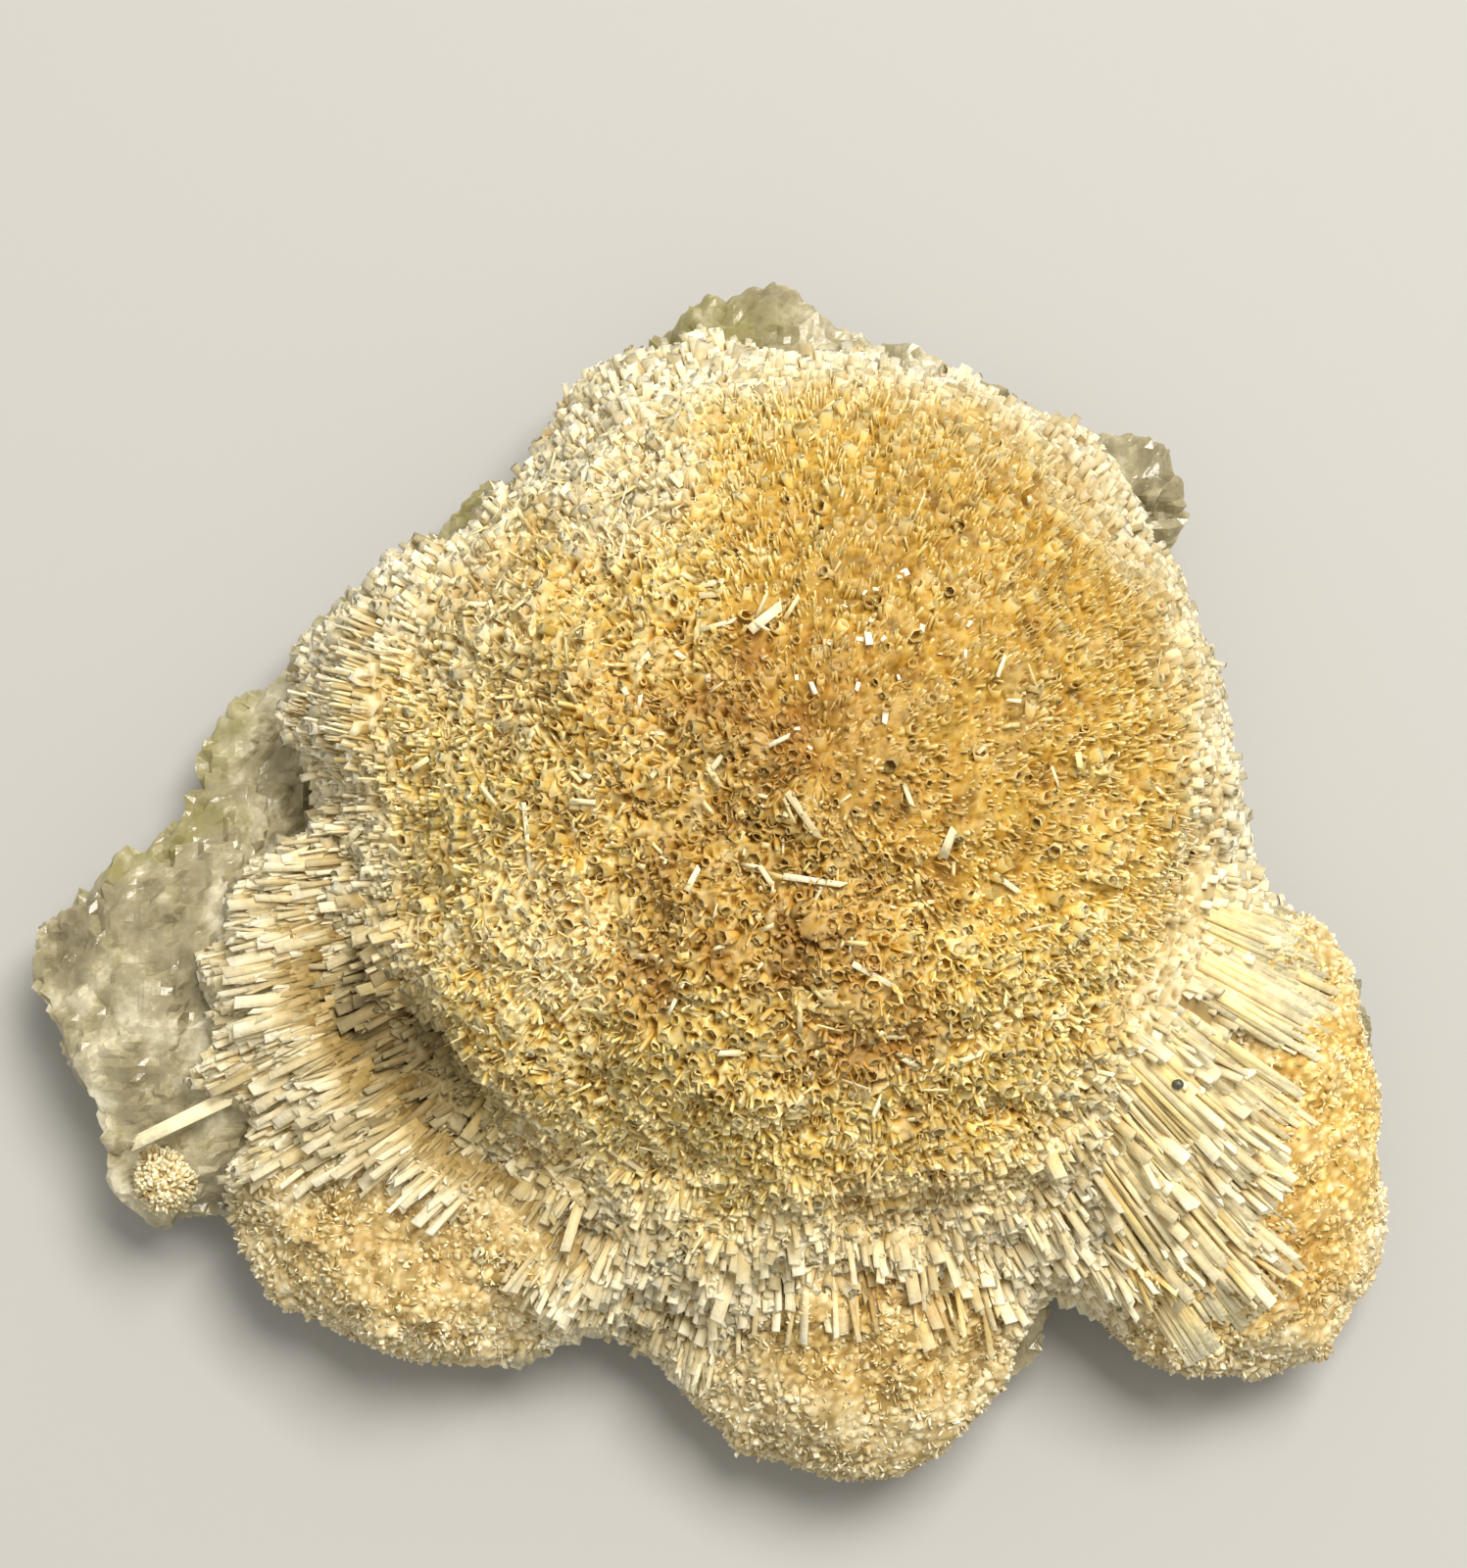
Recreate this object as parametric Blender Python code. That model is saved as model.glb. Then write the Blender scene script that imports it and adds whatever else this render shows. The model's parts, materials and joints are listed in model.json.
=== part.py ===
# Thomsonite: a dome of radiating blades with its side lobes, grown on a loose piece of quartz.
# The stone lies on the flat underside of its quartz with the dome up. The origin is on that flat face, under the
# middle of the stone. +Z is up, -Y is the side of the front lobe and +X is the side of the right lobe.

import math
import random

import bmesh
import bpy
import numpy as np
from mathutils import Matrix, Vector, noise

# Every length below is in millimetres, and MM turns it into metres
MM = 0.001
SEED = 31

# Heights and gaps that both stones share
GAP = 0.45
QUARTZ_TOP = 8.0
RIM_HEIGHT = 9.5
RIM_OVER_QUARTZ = 2.2
GROWTH_CENTRE = Vector((8.0, 7.0, 2.0))

# The crystals' outline from above, at the tips, clockwise from the back left corner
CRUST_CENTRE = (6.0, 6.0)
CRUST_OUTLINE = (
    (-6.9, 44.8), (-4.7, 43.7), (0.9, 45.4), (8.0, 46.5), (14.0, 46.0), (20.2, 43.8), (26.0, 39.0), (30.0, 36.6),
    (34.0, 32.4), (37.0, 26.5), (39.6, 21.4), (41.2, 12.0), (42.6, 6.5), (43.4, 0.7), (47.0, -0.8), (50.2, -4.2),
    (51.6, -11.5), (52.3, -21.2), (53.8, -24.6), (52.6, -29.5), (49.5, -34.2), (44.5, -37.0), (38.7, -37.9),
    (33.0, -35.2), (29.0, -31.8), (26.3, -30.8), (25.0, -32.6), (23.8, -37.2), (17.5, -43.6), (12.0, -46.0),
    (6.0, -44.8), (0.6, -42.4), (-2.4, -37.4), (-6.5, -35.2), (-9.6, -33.9), (-11.9, -35.0), (-17.1, -37.3),
    (-26.0, -35.9), (-32.3, -32.9), (-37.3, -28.6), (-39.0, -24.2), (-37.4, -20.2), (-39.1, -13.6), (-41.6, -7.4),
    (-41.8, -3.6), (-40.5, 0.3), (-37.5, 3.2), (-30.5, 5.4), (-31.8, 8.4), (-33.9, 13.2), (-33.8, 18.3),
    (-31.7, 21.4), (-26.0, 25.8), (-20.1, 29.4), (-14.7, 35.4), (-12.0, 40.6), (-9.3, 43.6),
)
CRUST_CELLS = 30
CRUST_TIP_REACH = 0.2
CRUST_JITTER = 0.3

# Each swelling is x, y, half length along x and y, turn in degrees, top height and squareness
CRUST_SWELLINGS = (
    (8.5, 8.0, 33.5, 35.0, 0, 36.0, 2.3),  # the sphere itself
    (-3.5, -2.5, 19.5, 18.5, 20, 27.5, 4.0),  # its full lower left edge, over the shaded ledge
    (13.0, -10.0, 22.0, 17.0, -10, 24.0, 3.0),  # the front of the sphere
    (-20.0, 16.0, 15.5, 13.5, 20, 23.0, 2.8),  # the pale fan on the left
    (-3.0, 33.0, 13.0, 12.5, 30, 20.0, 2.8),  # the back shoulder
    (24.0, 28.0, 14.0, 14.0, 0, 18.0, 2.5),  # the back right slope
    (-20.0, -5.0, 22.5, 18.0, 12, 16.5, 3.0),  # the left skirt of blades
    (2.0, -16.0, 27.0, 19.5, 0, 17.5, 3.4),  # the front skirt
    (27.0, -12.0, 18.0, 18.0, -35, 21.0, 2.6),  # the slope down to the right lobe
    (-24.5, -25.0, 15.0, 12.5, -20, 17.0, 2.3),  # the left lobe
    (11.5, -32.0, 14.5, 14.5, 0, 16.5, 2.3),  # the front lobe
    (38.5, -18.5, 15.5, 20.0, 0, 19.5, 2.4),  # the right lobe
)
SWELLING_BASE = 8.0
SWELLING_BLEND = 10

# The edge of the crust rounds down to its rim, then tucks under to a foot that the quartz cuts away
EDGE_ROUNDING = 4.5
RIM_TUCK = 0.8
RIM_UNDERSIDE = 7.3
FOOT_TUCK = 3.8
FOOT_HEIGHT = 3.2

# Lumps over the whole crust, each layer its size and height, and rows of shingles on the left and front skirts
LUMPS = ((9.0, 0.9), (4.0, 0.5))
SHINGLE_PITCH = 6.5
SHINGLE_HEIGHT = 2.0
SHINGLE_START = 24.0
SHINGLE_FULL = 28.0
SHINGLE_WAVES = ((8.0, 4.0),)
SHINGLE_SECTOR = (math.radians(165), math.radians(312))
SHINGLE_FADE = math.radians(12)

# Short square-ended blades that stand on the crust
SHORT_BLADE_SHARE = 0.4
SHORT_BLADE_LENGTH = (0.8, 2.4)
SHORT_BLADE_INSET = 0.22  # of the face that it stands on
SHORT_BLADE_SLOPE = 0.25
BLADE_LEAN = 0.6
RIM_BLADE_LENGTH = (0.5, 1.1)
RIM_BLADE_SHARE = 0.5
RIM_BLADE_ROOM = 0.3

# Each fan of long blades is count, first and last angle in degrees, nearest and furthest tip, shortest and longest
BLADE_FANS = (
    (20, -54, -14, 36.0, 52.0, 9.0, 15.0),  # over the right lobe
    (22, 176, 232, 33.0, 46.0, 6.0, 11.0),  # in the left skirt
    (22, 236, 296, 28.0, 40.0, 5.0, 9.0),  # in the front skirt
)
BLADE_WIDTH = (0.9, 1.5)
BLADE_THICKNESS = (0.6, 0.9)
BLADE_TIP_RISE = (0.6, 1.6)
BLADE_ROOT_DEPTH = 2.0
BLADE_EDGE_ROOM = 0.5

# Two longer blades that reach over the bare quartz, each its root, tip and width
CORNER_BLADES = (
    ((-33.0, -10.5, 14.5), (-42.4, -14.6, 15.6), 1.5),
    ((-34.0, -13.0, 13.0), (-44.9, -17.8, 15.2), 1.9),
)

# The small separate growth on the quartz's left front corner
CLUSTER_CENTRE = (-42.6, -22.4, 10.8)
CLUSTER_RADIUS = 2.7
CLUSTER_JITTER = 0.3
CLUSTER_BLADE_SHARE = 0.5
CLUSTER_BLADE_LENGTH = (0.3, 0.8)
CLUSTER_BLADE_INSET = 0.2
CLUSTER_BLADE_SLOPE = 0.2

# The quartz's outline from above, clockwise from the left
QUARTZ_CENTRE = (-3.0, 3.0)
QUARTZ_OUTLINE = (
    (-44.9, 3.9), (-48.7, 2.4), (-52.6, 0.3), (-54.6, -3.4), (-52.8, -8.0), (-48.9, -14.4), (-47.6, -19.2),
    (-46.2, -23.6), (-43.4, -25.7), (-40.4, -25.6), (-37.5, -25.0), (-35.2, -27.2), (-29.8, -31.2), (-22.7, -34.3),
    (-15.1, -34.4), (-10.5, -32.0), (-6.7, -32.2), (-2.1, -36.2), (2.5, -40.8), (9.3, -43.4), (15.4, -42.6),
    (20.7, -39.8), (24.8, -37.0), (24.6, -33.4), (28.2, -29.6), (33.0, -31.8), (39.1, -34.7), (46.0, -33.2),
    (50.2, -27.8), (51.0, -21.7), (50.8, -14.1), (52.8, -11.0), (52.6, -7.6), (49.4, -4.8), (46.0, -2.0),
    (42.2, 0.6), (41.0, 6.0), (40.0, 13.3), (38.1, 21.2), (37.4, 26.8), (38.2, 31.4), (37.9, 34.8), (35.6, 36.8),
    (32.0, 38.4), (26.2, 40.8), (21.0, 42.4), (16.0, 45.4), (10.4, 47.6), (7.4, 48.9), (2.1, 49.6), (-1.8, 48.2),
    (-4.4, 45.6), (-9.6, 41.6), (-13.0, 38.4), (-17.2, 34.9), (-21.9, 30.9), (-26.2, 26.9), (-31.0, 24.0),
    (-34.6, 19.6), (-37.4, 16.4), (-40.0, 13.6), (-41.2, 9.6), (-42.4, 6.0),
)
QUARTZ_CELLS = 18
QUARTZ_JITTER = 0.7
QUARTZ_SWELLINGS = (
    (-45.0, -8.0, 15.0, 20.0, 0, 12.5, 3.0),  # the bare left block
    (35.5, 34.5, 8.0, 7.0, -30, 12.5, 2.5),  # the knob at the back right
    (3.0, 47.0, 10.0, 7.0, 0, 12.0, 2.5),  # the bare back edge
    (-28.0, 27.0, 18.0, 5.0, 42, 10.0, 2.5),  # the green back left edge
    (51.5, -9.0, 5.0, 5.0, 0, 11.0, 2.5),  # the knob on the right
)
QUARTZ_FACETS = ((11.0, 0.9), (5.0, 0.6))
QUARTZ_EDGE_ROUNDING = 2.0
QUARTZ_EDGE_DROP = 1.6
QUARTZ_SIDE_JITTER = 0.4

# Each ring of the quartz's side is how far it is drawn in from the last one, and its height
QUARTZ_SIDES = ((0.8, 3.4), (3.4, 1.0))
FLAT_FACE_INSET = 4.0
FLAT_FACE_WAVES = ((12.0, 2.5),)


def clear_scene():
    for item in list(bpy.data.objects):
        bpy.data.objects.remove(item)


def stone_material(name, colour, roughness):
    material = bpy.data.materials.new(name)
    material.use_nodes = True
    shader = material.node_tree.nodes["Principled BSDF"]
    shader.inputs["Base Color"].default_value = (*colour, 1.0)
    shader.inputs["Roughness"].default_value = roughness
    shader.inputs["Metallic"].default_value = 0.0
    return material


def new_object(name, shape, material=None):
    mesh = bpy.data.meshes.new(name)
    bmesh.ops.scale(shape, vec=(MM, MM, MM), verts=shape.verts)
    shape.to_mesh(mesh)
    shape.free()
    item = bpy.data.objects.new(name, mesh)
    bpy.context.scene.collection.objects.link(item)
    if material:
        mesh.materials.append(material)
    return item


def mark_as_cutter(item):
    item.hide_render = True
    item.display_type = "WIRE"


def boolean(item, operation, other):
    modifier = item.modifiers.new(operation.title(), "BOOLEAN")
    modifier.operation = operation
    modifier.solver = "EXACT"
    modifier.use_self = True
    modifier.object = other


def smooth_step(value, start, end):
    share = min(max((value - start) / (end - start), 0.0), 1.0)
    return share * share * (3.0 - 2.0 * share)


def outline_radius(outline, centre):
    """Gives a function of the angle round the centre: the distance from there to the outline"""
    polar = sorted((math.atan2(y - centre[1], x - centre[0]), math.dist((x, y), centre)) for x, y in outline)
    angles = [angle for angle, _ in polar]
    radii = [radius for _, radius in polar]
    return lambda angle: float(np.interp(angle, angles, radii, period=2.0 * math.pi))


def disc_place(across, along):
    """Maps a point of the square from -1 to 1 onto the round disc, as a distance and an angle"""
    if across == 0.0 and along == 0.0:
        return 0.0, 0.0
    if abs(across) > abs(along):
        distance = across
        angle = math.pi / 4.0 * along / across
    else:
        distance = along
        angle = math.pi / 2.0 - math.pi / 4.0 * across / along
    return (distance, angle) if distance > 0.0 else (-distance, angle + math.pi)


def swelling_height(x, y, swelling, base):
    middle_x, middle_y, half_x, half_y, turn, top, squareness = swelling
    turn = math.radians(turn)
    along = (x - middle_x) * math.cos(turn) + (y - middle_y) * math.sin(turn)
    across = (y - middle_y) * math.cos(turn) - (x - middle_x) * math.sin(turn)
    reach = math.hypot(along / half_x, across / half_y)
    return (top - base) * math.sqrt(1.0 - reach ** squareness) if reach < 1.0 else 0.0


def blended_height(x, y, swellings, base):
    total = sum(swelling_height(x, y, swelling, base) ** SWELLING_BLEND for swelling in swellings)
    return base + total ** (1.0 / SWELLING_BLEND)


def bumps(x, y, layers, seed):
    """A rolling height, and the seed gives each surface its own"""
    return sum(height * noise.noise(Vector((x / size, y / size, seed))) for size, height in layers)


crust_radius = outline_radius(CRUST_OUTLINE, CRUST_CENTRE)
quartz_radius = outline_radius(QUARTZ_OUTLINE, QUARTZ_CENTRE)


def edge_distance(x, y, radius, centre):
    angle = math.atan2(y - centre[1], x - centre[0])
    return radius(angle) - math.dist((x, y), centre)


def quartz_top(x, y):
    """The height of the quartz over its flat face"""
    height = blended_height(x, y, QUARTZ_SWELLINGS, QUARTZ_TOP) + bumps(x, y, QUARTZ_FACETS, 4.5)
    edge = min(max(edge_distance(x, y, quartz_radius, QUARTZ_CENTRE) / QUARTZ_EDGE_ROUNDING, 0.0), 1.0)
    return height - QUARTZ_EDGE_DROP * (1.0 - edge) ** 2


def over_quartz(place):
    return edge_distance(place.x, place.y, quartz_radius, QUARTZ_CENTRE) > -RIM_BLADE_ROOM


def shingle_height(x, y):
    """Rows that rise outward from the growth centre and end in a step"""
    out = math.hypot(x - GROWTH_CENTRE.x, y - GROWTH_CENTRE.y)
    angle = math.atan2(y - GROWTH_CENTRE.y, x - GROWTH_CENTRE.x) % (2.0 * math.pi)
    rows = (out + bumps(x, y, SHINGLE_WAVES, 9.1)) / SHINGLE_PITCH
    share = smooth_step(out, SHINGLE_START, SHINGLE_FULL)
    share *= smooth_step(angle, SHINGLE_SECTOR[0], SHINGLE_SECTOR[0] + SHINGLE_FADE)
    share *= 1.0 - smooth_step(angle, SHINGLE_SECTOR[1] - SHINGLE_FADE, SHINGLE_SECTOR[1])
    return share * SHINGLE_HEIGHT * (rows - math.floor(rows) - 0.5)


def crust_top(x, y):
    """The height of the crystals' surface over the flat face"""
    height = blended_height(x, y, CRUST_SWELLINGS, SWELLING_BASE)
    height += bumps(x, y, LUMPS, 1.5) + shingle_height(x, y)
    rim = max(RIM_HEIGHT, quartz_top(x, y) + RIM_OVER_QUARTZ)
    edge = min(max(edge_distance(x, y, crust_radius, CRUST_CENTRE) / EDGE_ROUNDING, 0.0), 1.0)
    return rim + (height - rim) * math.sqrt(1.0 - (1.0 - edge) ** 2)


def disc_grid(shape, cells, centre, radius, top):
    """Adds an open sheet over an outline, and gives back its border, in order round the outline"""
    rows = []
    for row in range(cells + 1):
        rows.append([])
        for column in range(cells + 1):
            share, angle = disc_place(2.0 * column / cells - 1.0, 2.0 * row / cells - 1.0)
            reach = share * radius(angle)
            x = centre[0] + reach * math.cos(angle)
            y = centre[1] + reach * math.sin(angle)
            rows[-1].append(shape.verts.new((x, y, top(x, y))))
    for lower, upper in zip(rows, rows[1:]):
        for column in range(cells):
            shape.faces.new((lower[column], lower[column + 1], upper[column + 1], upper[column]))
    right = [row[-1] for row in rows[:-1]]
    left = [row[0] for row in reversed(rows[1:])]
    return rows[0][:-1] + right + list(reversed(rows[-1][1:])) + left


def add_ring(shape, border, centre, insets, heights):
    """Adds a band of faces from a border to a copy of it that is drawn in, and gives back the copy and the band"""
    ring = []
    for corner, inset, height in zip(border, insets, heights):
        out = Vector((corner.co.x - centre[0], corner.co.y - centre[1]))
        place = Vector(centre) + out * (1.0 - inset / out.length)
        ring.append(shape.verts.new((place.x, place.y, height)))
    band = []
    for index in range(len(border)):
        band.append(shape.faces.new((border[index], border[index - 1], ring[index - 1], ring[index])))
    return ring, band


def pick_apart(faces, share, dice):
    """Picks faces by chance, at most a share of them, so that no two touch"""
    picked = []
    taken = set()
    for face in faces:
        if dice.random() < share and taken.isdisjoint(face.verts):
            picked.append(face)
            taken.update(face.verts)
    return picked


def grow_blades(shape, faces, inset, lengths, dice):
    """Insets each face and draws it out as a square-ended blade, leaning away from the growth centre"""
    for face in faces:
        bmesh.ops.inset_individual(shape, faces=[face], thickness=inset * math.sqrt(face.calc_area()))
    grown = bmesh.ops.extrude_discrete_faces(shape, faces=faces)["faces"]
    shape.normal_update()
    for face in grown:
        away = (face.calc_center_median() - GROWTH_CENTRE).normalized()
        lean = (face.normal + BLADE_LEAN * away).normalized()
        bmesh.ops.translate(shape, vec=lean * dice.uniform(*lengths), verts=face.verts)


def build_quartz(material):
    """The loose piece of quartz: a rough plate with a flat underside"""
    dice = random.Random(SEED)
    shape = bmesh.new()
    border = disc_grid(shape, QUARTZ_CELLS, QUARTZ_CENTRE, quartz_radius, quartz_top)
    for corner in shape.verts:
        corner.co += Vector([dice.uniform(-QUARTZ_JITTER, QUARTZ_JITTER) for _ in range(3)])
    for inset, height in QUARTZ_SIDES:
        insets = [inset + dice.uniform(-QUARTZ_SIDE_JITTER, QUARTZ_SIDE_JITTER) for _ in border]
        heights = [height + dice.uniform(-QUARTZ_SIDE_JITTER, QUARTZ_SIDE_JITTER) for _ in border]
        border, _ = add_ring(shape, border, QUARTZ_CENTRE, insets, heights)
    insets = [FLAT_FACE_INSET + bumps(corner.co.x, corner.co.y, FLAT_FACE_WAVES, 2.5) for corner in border]
    border, _ = add_ring(shape, border, QUARTZ_CENTRE, insets, [0.0] * len(border))
    shape.faces.new(border[::-1])
    bmesh.ops.triangulate(shape, faces=[face for face in shape.faces if len(face.verts) == 4])
    bmesh.ops.recalc_face_normals(shape, faces=shape.faces)
    return new_object("quartz_matrix", shape, material)


def quartz_cutter(quartz):
    """The quartz, swollen by the gap, which shapes the underside of what grew on it"""
    cutter = bpy.data.objects.new("quartz_cutter", quartz.data.copy())
    bpy.context.scene.collection.objects.link(cutter)
    swell = cutter.modifiers.new("Swell", "DISPLACE")
    swell.strength = GAP * MM
    swell.mid_level = 0.0
    mark_as_cutter(cutter)
    return cutter


def add_long_blade(shape, root, tip, width, thickness):
    along = (tip - root).normalized()
    across = along.cross(Vector((0.0, 0.0, 1.0))).normalized()
    turn = Matrix((along, across, along.cross(across))).transposed().to_4x4()
    size = Matrix.Diagonal(((tip - root).length, width, thickness, 1.0))
    bmesh.ops.create_cube(shape, size=1.0, matrix=Matrix.Translation((root + tip) / 2.0) @ turn @ size)


def build_long_blades():
    """The long flat blades of the fans, with their roots inside the crust"""
    dice = random.Random(SEED + 1)
    shape = bmesh.new()
    for count, first, last, nearest, furthest, shortest, longest in BLADE_FANS:
        for index in range(count):
            angle = math.radians(first + (last - first) * (index + dice.uniform(0.2, 0.8)) / count)
            outward = Vector((math.cos(angle), math.sin(angle)))
            reach = dice.uniform(nearest, furthest)
            plan_tip = GROWTH_CENTRE.xy + outward * reach
            plan_root = plan_tip - outward * dice.uniform(shortest, longest)
            if edge_distance(*plan_tip, crust_radius, CRUST_CENTRE) < BLADE_EDGE_ROOM:
                continue
            tip = Vector((*plan_tip, crust_top(*plan_tip) + dice.uniform(*BLADE_TIP_RISE)))
            root = Vector((*plan_root, crust_top(*plan_root) - BLADE_ROOT_DEPTH))
            add_long_blade(shape, root, tip, dice.uniform(*BLADE_WIDTH), dice.uniform(*BLADE_THICKNESS))
    for root, tip, width in CORNER_BLADES:
        add_long_blade(shape, Vector(root), Vector(tip), width, BLADE_THICKNESS[1])
    blades = new_object("long_blades", shape)
    mark_as_cutter(blades)
    return blades


def build_crust(material, cutter):
    """The sphere of thomsonite with its skirts and side lobes, all one growth"""
    dice = random.Random(SEED + 2)
    shape = bmesh.new()
    border = disc_grid(
        shape, CRUST_CELLS, CRUST_CENTRE, lambda angle: crust_radius(angle) - CRUST_TIP_REACH, crust_top,
    )
    for corner in shape.verts:
        corner.co += Vector([dice.uniform(-CRUST_JITTER, CRUST_JITTER) for _ in range(3)])
    top_faces = list(shape.faces)
    count = len(border)
    border, rim_faces = add_ring(shape, border, CRUST_CENTRE, [RIM_TUCK] * count, [RIM_UNDERSIDE] * count)
    border, _ = add_ring(shape, border, CRUST_CENTRE, [FOOT_TUCK] * count, [FOOT_HEIGHT] * count)
    shape.faces.new(border[::-1])
    shape.normal_update()
    open_faces = [face for face in top_faces if face.normal.z > SHORT_BLADE_SLOPE]
    standing = pick_apart(open_faces, SHORT_BLADE_SHARE, dice)
    grow_blades(shape, standing, SHORT_BLADE_INSET, SHORT_BLADE_LENGTH, dice)
    overhanging = [face for face in rim_faces if not over_quartz(face.calc_center_median())]
    spiny = pick_apart(overhanging, RIM_BLADE_SHARE, dice)
    grow_blades(shape, spiny, SHORT_BLADE_INSET, RIM_BLADE_LENGTH, dice)
    bmesh.ops.triangulate(shape, faces=shape.faces)
    crust = new_object("thomsonite_sphere", shape, material)
    boolean(crust, "UNION", build_long_blades())
    boolean(crust, "DIFFERENCE", cutter)
    return crust


def build_cluster(material, cutter):
    """The small separate growth on the quartz's corner"""
    dice = random.Random(SEED + 3)
    shape = bmesh.new()
    place = Matrix.Translation(CLUSTER_CENTRE)
    bmesh.ops.create_icosphere(shape, subdivisions=1, radius=CLUSTER_RADIUS, matrix=place)
    for corner in shape.verts:
        corner.co += Vector([dice.uniform(-CLUSTER_JITTER, CLUSTER_JITTER) for _ in range(3)])
    shape.normal_update()
    upper = [face for face in shape.faces if face.normal.z > CLUSTER_BLADE_SLOPE]
    standing = [face for face in upper if dice.random() < CLUSTER_BLADE_SHARE]
    grow_blades(shape, standing, CLUSTER_BLADE_INSET, CLUSTER_BLADE_LENGTH, dice)
    bmesh.ops.triangulate(shape, faces=shape.faces)
    cluster = new_object("corner_cluster", shape, material)
    boolean(cluster, "DIFFERENCE", cutter)
    return cluster


def main():
    clear_scene()
    thomsonite = stone_material("thomsonite", (0.60, 0.42, 0.17), 0.45)
    quartz_stone = stone_material("quartz", (0.48, 0.44, 0.33), 0.3)
    quartz = build_quartz(quartz_stone)
    cutter = quartz_cutter(quartz)
    build_crust(thomsonite, cutter)
    build_cluster(thomsonite, cutter)


main()
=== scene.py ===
import json
import math
from itertools import product

import bpy
import numpy as np
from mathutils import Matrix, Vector, noise
from mathutils.bvhtree import BVHTree

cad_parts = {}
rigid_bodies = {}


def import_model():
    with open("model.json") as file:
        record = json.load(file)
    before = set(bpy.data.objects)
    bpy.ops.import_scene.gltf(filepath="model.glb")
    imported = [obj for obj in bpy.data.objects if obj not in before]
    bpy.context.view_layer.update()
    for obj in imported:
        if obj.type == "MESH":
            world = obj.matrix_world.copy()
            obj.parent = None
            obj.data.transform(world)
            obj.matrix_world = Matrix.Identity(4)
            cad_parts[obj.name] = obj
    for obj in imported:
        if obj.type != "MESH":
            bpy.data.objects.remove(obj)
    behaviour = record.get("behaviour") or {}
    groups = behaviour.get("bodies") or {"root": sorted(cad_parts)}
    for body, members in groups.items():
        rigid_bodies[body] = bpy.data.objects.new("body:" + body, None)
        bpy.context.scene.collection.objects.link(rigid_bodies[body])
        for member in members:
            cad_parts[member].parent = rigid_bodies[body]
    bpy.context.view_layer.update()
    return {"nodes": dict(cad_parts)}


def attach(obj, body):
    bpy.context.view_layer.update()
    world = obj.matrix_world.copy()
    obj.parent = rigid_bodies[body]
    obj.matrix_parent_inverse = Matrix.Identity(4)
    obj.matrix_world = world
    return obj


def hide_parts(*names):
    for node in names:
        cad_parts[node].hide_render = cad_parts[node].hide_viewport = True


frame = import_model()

# sizes and places are in millimetres, in the solids' own frame: x right, y back, z up from the flat face
mm = 0.001
growthCentre = np.array((8.0, 7.0, 2.0))  # the crystals of the dome and its skirts point away from here

# an oval is given by its middle, half sizes and turn in the plan, and an area has a strength after them

# the side lobes and the right one's foot: the middle of each growth, and the oval of its plan
lobes = {
    "left": {"centre": (-25.0, -26.0, 7.0), "plan": (-25.4, -29.0, 13.5, 8.0, -12)},
    "front": {"centre": (12.0, -34.0, 7.0), "plan": (12.5, -38.8, 14.5, 8.5, 0)},
    "right": {"centre": (38.0, -20.0, 6.0), "plan": (48.0, -20.0, 7.5, 20.5, 6)},
    "right foot": {"centre": (36.0, -26.0, 5.0), "plan": (38.5, -33.5, 7.5, 5.0, -10)},
}

# the gold of the dome ends at these distances from its middle, by angle, and the side lobes have gold tops
goldMiddle = (6.0, 10.0)
goldEdge = (
    (-168, 31.5), (-152, 32.5), (-142, 35.0), (-122, 35.5), (-95, 36.0), (-62, 36.5),
    (-35, 32.0), (-14, 30.5), (7, 29.5), (30, 28.5), (51, 29.0), (76, 28.5),
    (107, 27.0), (126, 25.5), (148, 27.0), (171, 31.0),
)
goldAreas = (
    (-23.5, -28.5, 11, 5, -8, 0.4),
    (13.5, -34, 9.5, 5.5, 0, 0.55),
    (48, -20, 7, 19, 6, 0.75),
    (38, -31.5, 6.5, 3.5, -10, 0.6),
)
creamAreas = (
    (-7.5, 31.5, 6, 9, 20, 0.75),
    (-33.5, 9, 3.5, 9, -12, 0.8),
    (13, -45, 14, 4, 0, 0.8),
    (-17, 16, 5, 7, 0, 0.35),
    (-13, -5, 6, 5, -45, 0.3),
)
stainAreas = (
    (-1.5, -7, 6.5, 3.2, 10, 0.8),
    (8, -7, 6, 3.6, -10, 1),
    (11, -13, 6.5, 3, 0, 0.8),
    (14, -22, 7, 4, 0, 0.35),
    (4.5, 9.5, 9, 7, 20, 0.85),
    (5, 1, 15, 9, 0, 0.5),
    (-14, 22, 5, 3.5, 30, 0.4),
    (-5, 12, 8, 5, 0, 0.35),
    (20, 20, 17, 19, 25, 0.2),
    (13.6, -30.5, 3.6, 1.8, 0, 0.35),
    (44, -29, 5, 4, 0, 0.4),
)
# areas of painted shade: their crystals' tints are darkened for the shadow in the hollows under the dome's
# south-west ledge, the front tiers and the front bay, and on the lower side of the front lobe, and more
# lightly over the dome's upper right, its middle and the left skirt
shadeAreas = (
    (-23, -12.8, 10, 3.8, -46, 1),
    (-13, -24.5, 5, 2.2, -25, 0.7),
    (-5, -33, 3.5, 2.6, 0, 0.6),
    (20, 20, 17, 19, 25, 0.5),
    (-27, -9, 14, 13, 0, 0.22),
    (5, 5, 9, 11, 20, 0.4),
    (12, -45, 13, 3, 0, 0.3),
)
# areas of painted light: tints raised on the dome's south-west ledge, which faces away from the lamp, and on
# the right lobe
paintedLightAreas = (
    (-14, -5, 8, 7, -45, 0.3),
    (48, -20, 7, 19, 6, 0.22),
)

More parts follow.
